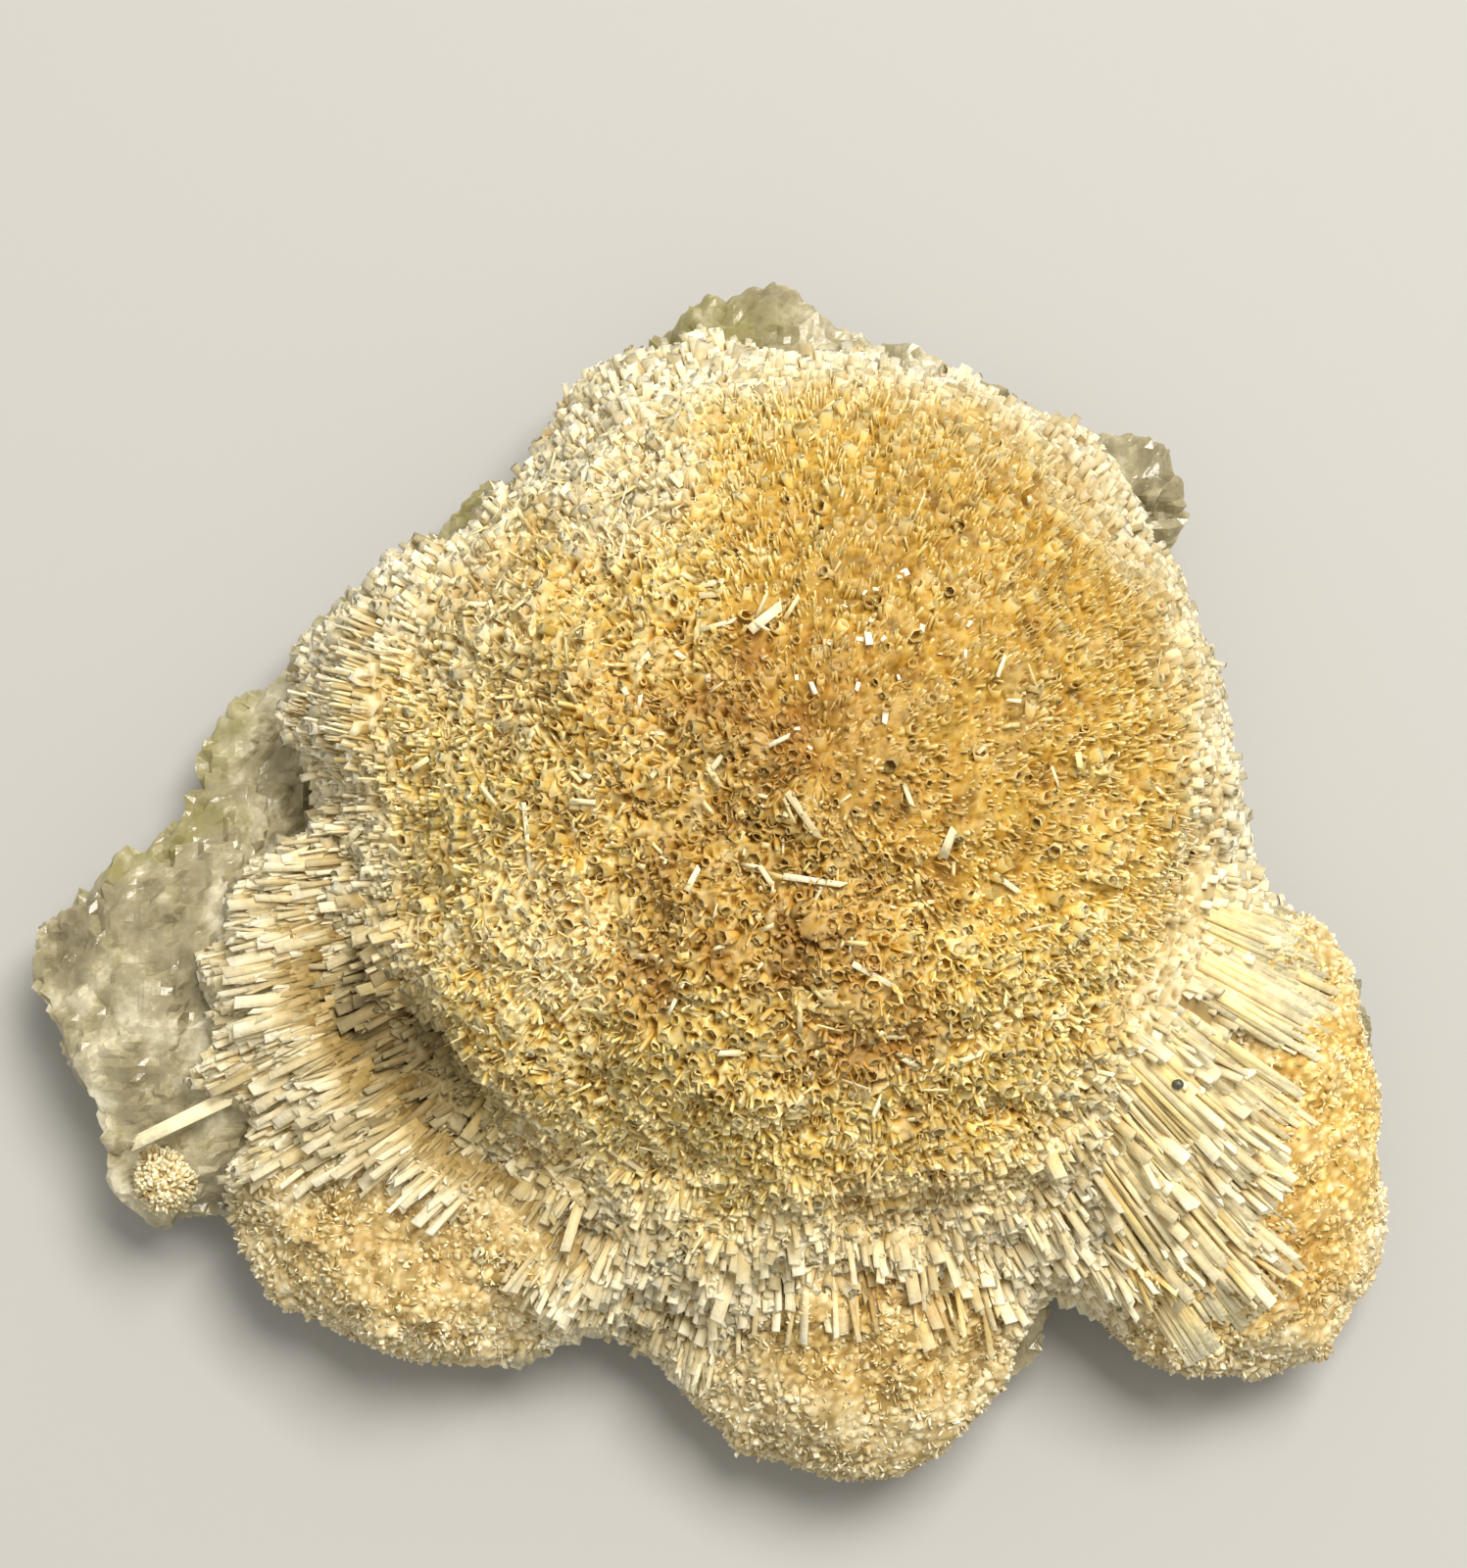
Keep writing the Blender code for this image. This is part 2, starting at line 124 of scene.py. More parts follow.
# where the needles are long and fine like fur, and where the crust has flat blades instead of needles
furArea = (24.0, 20.0, 23.0, 27.0, 25)
bladeAreas = (
    (-24, -4, 24, 21, 15, 1),
    (-2, -21, 34, 17, 0, 1),
    (30, -24, 14, 13, -40, 1),
)
fanArea = (39.0, -17.0, 8.5, 21.0, 12)
fineArea = (-27.0, 12.0, 8.0, 12.0, 10)
popcornArea = (-15.0, -8.0, 9.0, 12.0, 40)


# numbers for many crystals at once

def unit(vectors):
    return vectors / np.maximum(np.linalg.norm(vectors, axis=1, keepdims=True), 1e-9)


def easeBetween(values, start, end):
    share = np.clip((values - start) / (end - start), 0.0, 1.0)
    return share * share * (3.0 - 2.0 * share)


def rolling(places, size, seed):  # a slow random number at each place, from about -1 to 1
    shift = Vector((seed, seed * 0.7, seed * 1.3))
    return np.array([noise.noise(Vector(place) / size + shift) for place in places])


def wandering(places, size, *seeds):  # a slow random shift at each place, level where two seeds are given
    shifts = [rolling(places, size, seed) for seed in seeds] + [np.zeros(len(places))]
    return np.column_stack(shifts[:3])


def insideOval(places, oval, soft):  # 1 in an oval of the plan and 0 outside it
    x, y, halfX, halfY, turn = oval[:5]
    turn = math.radians(turn)
    along = (places[:, 0] - x) * math.cos(turn) + (places[:, 1] - y) * math.sin(turn)
    across = (places[:, 1] - y) * math.cos(turn) - (places[:, 0] - x) * math.sin(turn)
    reach = np.hypot(along / halfX, across / halfY)
    return 1.0 - easeBetween(reach, 1.0 - soft, 1.0 + soft)


def inAreas(places, areas, soft):  # the most that any of the areas gives each place
    return np.max([area[5] * insideOval(places, area, soft) for area in areas], axis=0)


def goldReach(places):  # below 1 inside the gold part of the dome
    x, y = places[:, 0] - goldMiddle[0], places[:, 1] - goldMiddle[1]
    angles, edges = zip(*goldEdge)
    return np.hypot(x, y) / np.interp(np.degrees(np.arctan2(y, x)), angles, edges, period=360.0)


def spacedOut(places, gap):  # which places to keep so that none is nearer than the gap to another
    cells = {}
    kept = []
    for index, place in enumerate(places):
        cell = tuple(int(math.floor(value / gap)) for value in place)
        around = product(*((value - 1, value, value + 1) for value in cell))
        near = [cells[key] for key in around if key in cells]
        if all(((places[other] - place) ** 2).sum() > gap * gap for other in near):
            cells[cell] = index
            kept.append(index)
    return np.array(kept)


def jittered(ways, amount, dice):
    return unit(ways + dice.normal(0.0, amount, ways.shape))


def skewed(dice, count, low, high, power=1.8):  # sizes between two limits, with more near the lower one
    return low + (high - low) * dice.random(count) ** power


def straightUp(count):
    return np.tile((0.0, 0.0, 1.0), (count, 1))


# Blender work shared by the pieces

def deselectAll():
    bpy.ops.object.select_all(action="DESELECT")


def setMode(mode):
    bpy.ops.object.mode_set(mode=mode)


def makeActive(piece):
    deselectAll()
    piece.select_set(True)
    bpy.context.view_layer.objects.active = piece


def newPiece(name, data):
    piece = bpy.data.objects.new(name, data)
    bpy.context.scene.collection.objects.link(piece)
    return piece


def copyOfNode(nodeName, pieceName):
    mesh = frame["nodes"][nodeName].data.copy()
    mesh.materials.clear()
    piece = newPiece(pieceName, mesh)
    makeActive(piece)
    setMode("EDIT")
    bpy.ops.mesh.select_all(action="SELECT")
    bpy.ops.mesh.remove_doubles(threshold=0.00001)
    setMode("OBJECT")
    return piece


def applyModifier(piece, kind, **values):
    makeActive(piece)
    modifier = piece.modifiers.new(kind.title(), kind)
    for name, value in values.items():
        setattr(modifier, name, value)
    bpy.ops.object.modifier_apply(modifier=modifier.name)


def readShape(piece):  # points and their normals, points in millimetres
    mesh = piece.data
    points = np.empty(len(mesh.vertices) * 3)
    mesh.vertices.foreach_get("co", points)
    normals = np.empty(len(mesh.vertices) * 3)
    mesh.vertex_normals.foreach_get("vector", normals)
    return points.reshape(-1, 3) / mm, normals.reshape(-1, 3)


def writeShape(piece, points):
    piece.data.vertices.foreach_set("co", (points * mm).ravel())
    piece.data.update()


def addMarks(mesh, marks):  # numbers at the points, which the finishes read
    for name, values in marks.items():
        mark = mesh.attributes.new(name, "FLOAT", "POINT")
        mark.data.foreach_set("value", np.asarray(values, dtype=np.float32))


def finishPiece(piece, material, slotName, *nodeNames):
    piece.data.materials.clear()
    piece.data.materials.append(material)
    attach(piece, "root")
    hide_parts(*nodeNames)


# colour zones of the crystals, as marks that the crystal finish reads: knolls are paler and hollows amber and
# darker, the darkening being painted shade, and the shade and light areas add painted shade and painted light

zoneLook = {
    "wander": 2.2,  # how far the zones' edges wander, and how mixed their crystals are
    "mixed": 0.5,
    "goldFade": (0.84, 1.14),
    "lowPart": (10.0, 15.0),  # the gold fades below these heights
    "lowCream": 0.75,
    "blotches": (3.0, 5.7),  # size and seed of each noise
    "knolls": (2.6, 3.0),
    "knollCream": 0.3,
    "hollowStain": 0.3,
    # painted shade: how much the hollows between the knolls are darkened
    "hollowPaintedShade": 0.2,
    "spread": 0.08,
    "darkest": 0.2,
    # painted shade: how strongly the shade areas darken the tints
    "shade": 0.95,
}


def zoneMarks(places, dice):
    wandered = places + zoneLook["wander"] * wandering(places, 5.0, 3.1, 8.4)
    wandered += dice.normal(0.0, zoneLook["mixed"], places.shape)
    gold = 1.0 - easeBetween(goldReach(wandered), *zoneLook["goldFade"])
    gold = np.maximum(gold, inAreas(wandered, goldAreas, 0.16))
    for area in creamAreas:
        gold *= 1.0 - area[5] * insideOval(wandered, area, 0.4)
    bottom, top = zoneLook["lowPart"]
    cream = 1.0 - gold * (1.0 - zoneLook["lowCream"] * easeBetween(-places[:, 2], -top, -bottom))
    blotches = 0.75 + 0.6 * rolling(places, *zoneLook["blotches"])
    knolls = rolling(places, *zoneLook["knolls"])
    hollows = easeBetween(-knolls, 0.0, 0.5)
    stain = inAreas(wandered, stainAreas, 0.6) * blotches + zoneLook["hollowStain"] * hollows * gold
    stain = np.clip(stain, 0.0, 1.0)
    cream += zoneLook["knollCream"] * easeBetween(knolls, 0.05, 0.5) * gold * (1.0 - stain)
    cream = np.clip(cream + dice.normal(0.0, zoneLook["spread"], len(places)), 0.0, 1.0)
    darkest = zoneLook["darkest"]
    # the hollows between the knolls are darkened, as painted shade
    tints_and_painted_shading = (darkest + (1.0 - darkest) * dice.random(len(places))) * (1.0 - zoneLook["hollowPaintedShade"] * hollows)
    return {"cream": cream, "stain": stain, "tint_and_painted_shading": shaded(wandered, tints_and_painted_shading)}


def shaded(places, tints_and_painted_shading):  # painted shade: darker in the shade areas, such as the hollows under the dome's ledges, and painted light: lighter in the areas of painted light
    shade = zoneLook["shade"] * inAreas(places, shadeAreas, 0.5)
    return np.clip(tints_and_painted_shading * (1.0 - shade) + inAreas(places, paintedLightAreas, 0.4), 0.0, 1.0)


# the bed that the needles stand on: the crust's own shape, a little smaller and rounder

bedLook = {
    "coarse": 1.5,
    "grain": 0.8,
    "smoothing": 8,
    "drawnIn": 0.7,
    "footDown": 1.3,
    "lumps": ((5.5, 0.9), (2.6, 0.65)),
    "tiers": 1.1,
    # the bed between the needles is painted dark, with a foot's colour and a low tint: the darker colour of
    # the feet together with painted shade of the gaps
    "tint_and_painted_shading": 0.14,
    "along": 0.3,
    "hollows": (  # areas where the bed sinks by their last value, and rises where that is below zero
        (-22.8, -13.2, 10.5, 3.6, -48, 3),
        (-12.5, -23.5, 6, 2.8, -25, 2),
        (-5, -33, 3.5, 3, 0, 1.5),
        (-16.5, -10.5, 9, 2.4, -52, -1.3),
        (30.5, 28.5, 5.5, 3.5, -35, 1.8),
    ),
}


def drawIn(piece, look):
    points, normals = readShape(piece)
    upper = easeBetween(normals[:, 2], -0.35, 0.0)
    points -= normals * (look["drawnIn"] * upper)[:, None]
    for index, (size, height) in enumerate(look["lumps"]):
        points += normals * (height * upper * rolling(points, size, 2.0 + index))[:, None]
    for hollow in look.get("hollows", ()):
        points -= normals * (hollow[5] * upper * insideOval(points, hollow, 0.5))[:, None]
    if "tiers" in look:
        bladed = inAreas(points, bladeAreas, 0.3) * (easeBetween(goldReach(points), 0.95, 1.05) * upper)
        points += normals * (look["tiers"] * bladed * (rowPhase(points) - 0.6))[:, None]
    points[:, 2] -= look["footDown"] * (1.0 - upper)
    points[:, 2] = np.maximum(points[:, 2], 1.5)
    writeShape(piece, points)


def makeBed():
    bed = copyOfNode("thomsonite_sphere", "crystal_bed")
    for grain in (bedLook["coarse"], bedLook["grain"]):
        applyModifier(bed, "REMESH", mode="VOXEL", voxel_size=grain * mm)
        applyModifier(bed, "SMOOTH", factor=0.5, iterations=bedLook["smoothing"] // 2)
    drawIn(bed, bedLook)
    points, _ = readShape(bed)
    marks = zoneMarks(points, np.random.default_rng(3))
    marks |= {
        "along": np.full(len(points), bedLook["along"]),
        "across": np.zeros(len(points)),
        "tint_and_painted_shading": shaded(points, np.full(len(points), bedLook["tint_and_painted_shading"])),
    }
    addMarks(bed.data, marks)
    bed.data.shade_smooth()
    print("bed", len(bed.data.polygons), "faces")
    return bed


def spotsOn(piece, count, dice):  # places spread over a surface, with their normals
    mesh = piece.data
    mesh.calc_loop_triangles()
    corners = np.empty(len(mesh.loop_triangles) * 3, dtype=np.int32)
    mesh.loop_triangles.foreach_get("vertices", corners)
    corners = corners.reshape(-1, 3)
    points, normals = readShape(piece)
    a, b, c = points[corners[:, 0]], points[corners[:, 1]], points[corners[:, 2]]
    areas = np.linalg.norm(np.cross(b - a, c - a), axis=1)
    chosen = dice.choice(len(areas), size=count, p=areas / areas.sum())
    weights = dice.dirichlet((1.0, 1.0, 1.0), size=count)
    places = sum(weights[:, i:i + 1] * points[corners[chosen, i]] for i in range(3))
    facing = unit(sum(weights[:, i:i + 1] * normals[corners[chosen, i]] for i in range(3)))
    return places, facing


# the spongy layer between the needles: walls around small pits on the dome, and sugary grains on the lobes

spongeLooks = {
    "dome_sponge": {
        "grain": 0.23, "cell": 0.9, "depth": 0.85, "over": 0.0, "wander": 0.6, "rough": 0.4,
        "along": (0.0, 0.95),
    },
    "fur_sponge": {
        "grain": 0.25, "cell": 0.7, "depth": 0.4, "over": 0.15, "wander": 0.35, "rough": 0.25,
        "along": (0.15, 0.45),
    },
    "lobe_druse": {
        "grain": 0.25, "cell": 0.8, "depth": -0.4, "over": 0.35, "wander": 0.4, "rough": 0.3,
        "along": (0.3, 0.6),
    },
}
spongeFade = 1.6  # how far a spongy layer's edge sinks into the bed


def makeSponge(bed, name, look, chooseFaces):
    deselectAll()
    sponge = newPiece(name, bed.data.copy())
    for mark in list(sponge.data.attributes):
        if mark.name in ("along", "tint_and_painted_shading", "across", "cream", "stain"):
            sponge.data.attributes.remove(mark)
    applyModifier(sponge, "REMESH", mode="VOXEL", voxel_size=look["grain"] * mm)
    points, normals = readShape(sponge)
    inside = chooseFaces(points, normals)
    makeActive(sponge)
    setMode("EDIT")
    bpy.ops.mesh.select_mode(type="VERT")
    setMode("OBJECT")
    for corner, keep in zip(sponge.data.vertices, inside > 0.02):
        corner.select = not keep
    setMode("EDIT")
    bpy.ops.mesh.delete(type="VERT")
    setMode("OBJECT")
    applyModifier(sponge, "SMOOTH", factor=0.5, iterations=3)
    points, normals = readShape(sponge)
    inside = chooseFaces(points, normals)
    places = (points + look["wander"] * wandering(points, 1.3, 2.0, 5.0, 8.0)) / look["cell"]
    nearest = np.array([noise.voronoi(Vector(place))[0][:2] for place in places])
    wall = 1.0 - easeBetween(nearest[:, 1] - nearest[:, 0], 0.05, 0.5)
    uneven = 0.75 + 0.8 * rolling(points, 3.0, 4.0)
    height = wall * look["depth"] * uneven + look["rough"] * rolling(points, 0.55, 6.0)
    lift = look["over"] + height - spongeFade * (1.0 - easeBetween(inside, 0.02, 0.4))
    writeShape(sponge, points + normals * lift[:, None])
    shown = wall if look["depth"] > 0.0 else 1.0 - wall
    dice = np.random.default_rng(21)
    low, gain = look["along"]
    # the pits between the walls are marked like the feet, darker: painted shade in the pits together with the
    # feet's darker colour
    marks = zoneMarks(points, dice) | {
        "along": np.clip(low + gain * shown + 0.3 * rolling(points, 0.9, 9.0), 0.0, 1.0),
        "across": np.zeros(len(points)),
        "tint_and_painted_shading": shaded(points, np.clip(0.4 + 0.5 * rolling(points, 1.1, 2.5), 0.15, 0.85)),
    }
    addMarks(sponge.data, marks)
    sponge.data.shade_smooth()
    print(name, len(sponge.data.polygons), "faces")
    return sponge


def domeTop(points, normals):
    golden = 1.0 - easeBetween(goldReach(points), 1.02, 1.14)
    return golden * easeBetween(normals[:, 2], 0.3, 0.45) * (1.0 - onLobes(lobeShares(points)))


def openPart(points, normals):
    return domeTop(points, normals) * (1.0 - easeBetween(insideOval(points, furArea, 0.2), 0.3, 0.7))


def furPart(points, normals):
    return domeTop(points, normals) * easeBetween(insideOval(points, furArea, 0.2), 0.1, 0.5)


def lobeTops(points, normals):
    return easeBetween(onLobes(lobeShares(points)), 0.25, 0.6) * easeBetween(normals[:, 2], -0.5, -0.3)


# which way the crystals grow

def lobeShares(places):
    wandered = places + 1.6 * wandering(places, 4.0, 1.3, 6.2)
    return {name: insideOval(wandered, lobe["plan"], 0.12) for name, lobe in lobes.items()}


def onLobes(shares):
    return np.max(list(shares.values()), axis=0)


def growthWays(places, normals, shares):  # the way that the crystals point at each place
    ways = unit(places - growthCentre)
    for name, share in shares.items():
        ownWays = unit(places - np.array(lobes[name]["centre"])) + 0.8 * normals
        ways = unit(ways * (1.0 - share)[:, None] + unit(ownWays) * share[:, None])
    return ways


def growthSpots(bed, tries, dice):  # places on the bed, their normals, the ways of growth, the lobes' shares
    places, facing = spotsOn(bed, tries, dice)
    shares = lobeShares(places)
    return places, facing, growthWays(places, facing, shares), shares


# one crystal modelled for each kind, then read as points, faces and how far along each point is

def crystalShape(taper, pit=None, slant=0.0):
    deselectAll()
    if pit:
        bpy.ops.mesh.primitive_cylinder_add(vertices=6, radius=0.55, depth=1.0, location=(0.0, 0.0, 0.5))
    else:
        bpy.ops.mesh.primitive_cube_add(size=1.0, location=(0.0, 0.0, 0.5))
    piece = bpy.context.active_object
    bpy.ops.object.transform_apply(location=True)
    for face in piece.data.polygons:
        face.select = face.normal.z > 0.9
    for edge in piece.data.edges:
        edge.select = all(piece.data.vertices[i].co.z > 0.9 for i in edge.vertices)
    for corner in piece.data.vertices:
        corner.select = corner.co.z > 0.9
    setMode("EDIT")
    bpy.ops.transform.resize(value=(taper, taper, 1.0))
    if slant:
        bpy.ops.transform.rotate(value=slant, orient_axis="Y", center_override=(0.0, 0.0, 1.0))
    if pit:
        bpy.ops.mesh.inset(thickness=pit["wall"])
        bpy.ops.transform.translate(value=(0.0, 0.0, -pit["depth"]))
        bpy.ops.mesh.select_all(action="SELECT")
        bpy.ops.mesh.quads_convert_to_tris()
    setMode("OBJECT")
    mesh = piece.data
    points = np.array([tuple(corner.co) for corner in mesh.vertices])
    faces = np.array([tuple(face.vertices) for face in mesh.polygons])
    bpy.data.objects.remove(piece)
    # the inside of each pit is marked like a foot, so it is painted dark: painted shade in the pit together
    # with the feet's darker colour
    inPit = (points[:, 2] > 0.3) & (points[:, 2] < 0.9)
    return points, faces, np.where(inPit, 0.05, np.round(points[:, 2]))


def tileMap(faces, crystalCount):  # one tile of the map for each crystal, and a part of it for each face
    faceCount = len(faces)
    across = math.ceil(math.sqrt(crystalCount))
    columns = math.ceil(math.sqrt(faceCount))
    corners = np.array(((0.12, 0.12), (0.88, 0.12), (0.88, 0.88), (0.12, 0.88)))[:faces.shape[1]]
    parts = np.array([(i % columns, i // columns) for i in range(faceCount)])
    own = (parts[:, None, :] + corners[None, :, :]) / columns
    tiles = np.stack([np.arange(crystalCount) % across, np.arange(crystalCount) // across], axis=1)
    return ((tiles[:, None, None, :] + own[None]) / across).reshape(-1, 2)


def growCrystals(name, shape, feet, ways, facing, sizes, marks):
    points, faces, along = shape
    widths, depths, lengths, spins = sizes
    broad = unit(np.cross(facing + np.array((0.011, 0.007, 0.003)), ways))
    narrow = np.cross(ways, broad)
    first = broad * np.cos(spins)[:, None] + narrow * np.sin(spins)[:, None]
    second = np.cross(ways, first)
    placed = (
        feet[:, None, :]
        + points[None, :, 0:1] * (first * widths[:, None])[:, None, :]
        + points[None, :, 1:2] * (second * depths[:, None])[:, None, :]
        + points[None, :, 2:3] * (ways * lengths[:, None])[:, None, :]
    )
    count = len(feet)
    loops = (faces.reshape(1, -1) + np.arange(count)[:, None] * len(points)).ravel()
    mesh = bpy.data.meshes.new(name)
    mesh.vertices.add(count * len(points))
    mesh.vertices.foreach_set("co", (placed * mm).ravel())
    mesh.loops.add(len(loops))
    mesh.loops.foreach_set("vertex_index", loops)
    mesh.polygons.add(count * len(faces))
    mesh.polygons.foreach_set("loop_start", np.arange(0, len(loops), faces.shape[1]))
    mesh.update(calc_edges=True)
    mesh.uv_layers.new(name="OFBake").data.foreach_set("uv", tileMap(faces, count).ravel())
    across = points[None, :, 0] * widths[:, None] + points[None, :, 1] * depths[:, None]
    addMarks(mesh, {"along": np.tile(along, count), "across": across.ravel()})
    addMarks(mesh, {mark: np.repeat(values, len(points)) for mark, values in marks.items()})
    print(name, count, "crystals")
    return newPiece(name, mesh)


# short six-sided needles of the dome, seen end on, with a pit in each tip

tubeLook = {
    "count": 4800,
    "tries": 42000,
    "gap": 0.8,
    "wall": 0.15,
    "pitDepth": 0.35,
    "width": (0.55, 1.15),
    "flat": (0.55, 1.1),
    "foot": 1.0,
    "rise": (0.7, 1.5),
    "clumps": ((3.0, 0.6), (1.1, 0.35)),  # size and height of the clumps
    "lean": 0.35,
    "endOn": 0.62,
    "slope": 0.3,
    "leftOut": (0.15, 0.7),  # the share left out everywhere, and how much more in the fur
}


def makeTubes(bed, shape):
    dice = np.random.default_rng(11)
    places, facing, ways, shares = growthSpots(bed, tubeLook["tries"], dice)
    endOn = (ways * facing).sum(axis=1)
    wanted = (endOn > tubeLook["endOn"]) & (facing[:, 2] > tubeLook["slope"]) & (onLobes(shares) < 0.5)
    leftOut, leftInFur = tubeLook["leftOut"]
    wanted &= dice.random(len(places)) > leftOut + leftInFur * insideOval(places, furArea, 0.3)
    wanted &= insideOval(places, fanArea, 0.2) < 0.5
    places, facing, ways = places[wanted], facing[wanted], ways[wanted]
    kept = spacedOut(places, tubeLook["gap"])[:tubeLook["count"]]
    places, facing, ways = places[kept], facing[kept], jittered(ways[kept], tubeLook["lean"], dice)
    count = len(places)
    rise = dice.uniform(*tubeLook["rise"], count)
    for index, (size, height) in enumerate(tubeLook["clumps"]):
        rise += height * rolling(places, size, 4.0 + index)
    rise = np.maximum(rise, 0.1)
    widths = skewed(dice, count, *tubeLook["width"], power=1.5)
    lengths = rise + tubeLook["foot"]
    feet = places - ways * tubeLook["foot"]
    depths = widths * dice.uniform(*tubeLook["flat"], count)
    sizes = (widths, depths, lengths, dice.uniform(0.0, math.pi, count))
    return growCrystals("dome_needles", shape, feet, ways, facing, sizes, zoneMarks(places, dice))


# finer needles between them, the long fine ones of the dome's right side, and the spiny rim

needleLooks = {  # endOn, slope and fur are the lowest and highest values that needles of the kind grow at
    "dome_fine_needles": {
        "seed": 12, "count": 5600, "tries": 60000, "width": (0.17, 0.55), "flat": (0.25, 0.8), "foot": 0.7,
        "rise": (0.8, 1.9), "lean": 0.55, "endOn": (0.5, 1.1), "slope": (0.25, 1.1), "fur": (-0.1, 0.6),
        "comb": 0.15,
    },
    "fur_needles": {
        "seed": 19, "count": 6000, "tries": 90000, "width": (0.16, 0.42), "flat": (0.4, 1.0), "foot": 0.8,
        "rise": (0.5, 1.5), "lean": 0.25, "endOn": (0.45, 1.1), "slope": (0.1, 1.1), "fur": (0.4, 1.1),
        "comb": 0.7,
    },
    "rim_needles": {
        "seed": 13, "count": 5400, "tries": 70000, "width": (0.4, 1.05), "flat": (0.5, 0.9), "foot": 1.2,
        "rise": (0.1, 0.7), "lean": 0.14, "endOn": (0.2, 1.1), "slope": (-0.75, 0.3), "fur": (-0.1, 1.1),
        "comb": 0.0,
    },
}


needlesAbove = 3.5
needlesReach = (0.97, 0.04)  # how far into the rim the upper needles go, and how unevenly


def between(values, limits):
    return (values > limits[0]) & (values < limits[1])


def makeNeedles(bed, name, look, shape):
    dice = np.random.default_rng(look["seed"])
    places, facing, ways, shares = growthSpots(bed, look["tries"], dice)
    endOn = (ways * facing).sum(axis=1)
    fur = insideOval(places, furArea, 0.3) + dice.normal(0.0, 0.1, len(places))
    wanted = between(endOn, look["endOn"]) & between(facing[:, 2], look["slope"]) & between(fur, look["fur"])
    wanted &= (onLobes(shares) < 0.5) & (places[:, 2] > needlesAbove)
    if look["slope"][1] > 1.0:
        wanted &= goldReach(places) < dice.normal(*needlesReach, len(places))
    chosen = np.flatnonzero(wanted)[:look["count"]]
    places, facing = places[chosen], facing[chosen]
    outwards = unit((places - growthCentre) * (1.0, 1.0, 0.0))
    ways = jittered(unit(ways[chosen] + look["comb"] * outwards), look["lean"], dice)
    count = len(places)
    widths = skewed(dice, count, *look["width"])
    rise = skewed(dice, count, *look["rise"], power=1.3) * (1.0 + 0.5 * rolling(places, 2.0, 7.0))
    depths = widths * dice.uniform(*look["flat"], count)
    sizes = (widths, depths, rise + look["foot"], dice.uniform(0.0, math.pi, count))
    feet = places - ways * look["foot"]
    return growCrystals(name, shape, feet, ways, facing, sizes, zoneMarks(places, dice))


# flat blades that lie along the skirts in rows, like shingles: small ones below and long ones on top

skirtLooks = {
    "skirt_blades": {
        "seed": 14, "count": 7000, "tries": 84000, "width": (0.2, 0.7), "depth": (0.15, 0.4), "foot": 0.7,
        "rise": (0.2, 0.9), "length": (0.8, 3.4), "lean": 0.11, "slant": (4.0, 28.0), "gap": 0.0,
        "flank": 1.0, "bladed": True, "spin": 0.35, "reach": 0.98,
    },
    "dome_blades": {
        "seed": 44, "count": 3000, "tries": 60000, "width": (0.25, 0.85), "depth": (0.15, 0.35), "foot": 0.9,
        "rise": (0.5, 1.4), "length": (0.8, 2.6), "lean": 0.22, "slant": (12.0, 45.0), "gap": 0.0,
        "flank": 1.0, "bladed": True, "spin": 0.7, "reach": 0.72,
    },
    "long_skirt_blades": {
        "seed": 24, "count": 2600, "tries": 60000, "width": (0.35, 1.15), "depth": (0.2, 0.45), "foot": 1.5,
        "rise": (0.7, 1.9), "length": (0.9, 5.2), "lean": 0.12, "slant": (5.0, 28.0), "gap": 0.75,
        "flank": 0.12, "bladed": True, "spin": 0.22, "reach": 0.98,
    },
    "rim_teeth": {
        "seed": 34, "count": 4800, "tries": 60000, "width": (0.4, 1.15), "depth": (0.25, 0.5), "foot": 1.2,
        "rise": (0.3, 1.2), "length": (0.4, 2.2), "lean": 0.14, "slant": (0.0, 40.0), "gap": 0.5,
        "flank": 1.0, "bladed": False, "spin": 0.3, "reach": 0.98,
    },
}
bladesAbove = 7.0
bladesOnFan = 0.3  # the share of them that stays where the fan lies
rowPitch = 3.2
rowWander = 4.5


def rowPhase(places):  # 0 at the back of each row and 1 at its front edge
    out = np.hypot(places[:, 0] - growthCentre[0], places[:, 1] - growthCentre[1])
    rows = (out + rowWander * rolling(places, 5.5, 9.0)) / rowPitch
    return rows - np.floor(rows)


def overBed(tree, feet, ways, lengths):  # shorten the crystals that would reach far past the bed's edge
    for index in range(len(feet)):
        for _ in range(3):
            tip = feet[index] + ways[index] * lengths[index]
            height = surfaceHeight(tree, tip[0], tip[1])
            if height is not None and height > tip[2] - 5.0:
                break
            lengths[index] *= 0.72
    return lengths


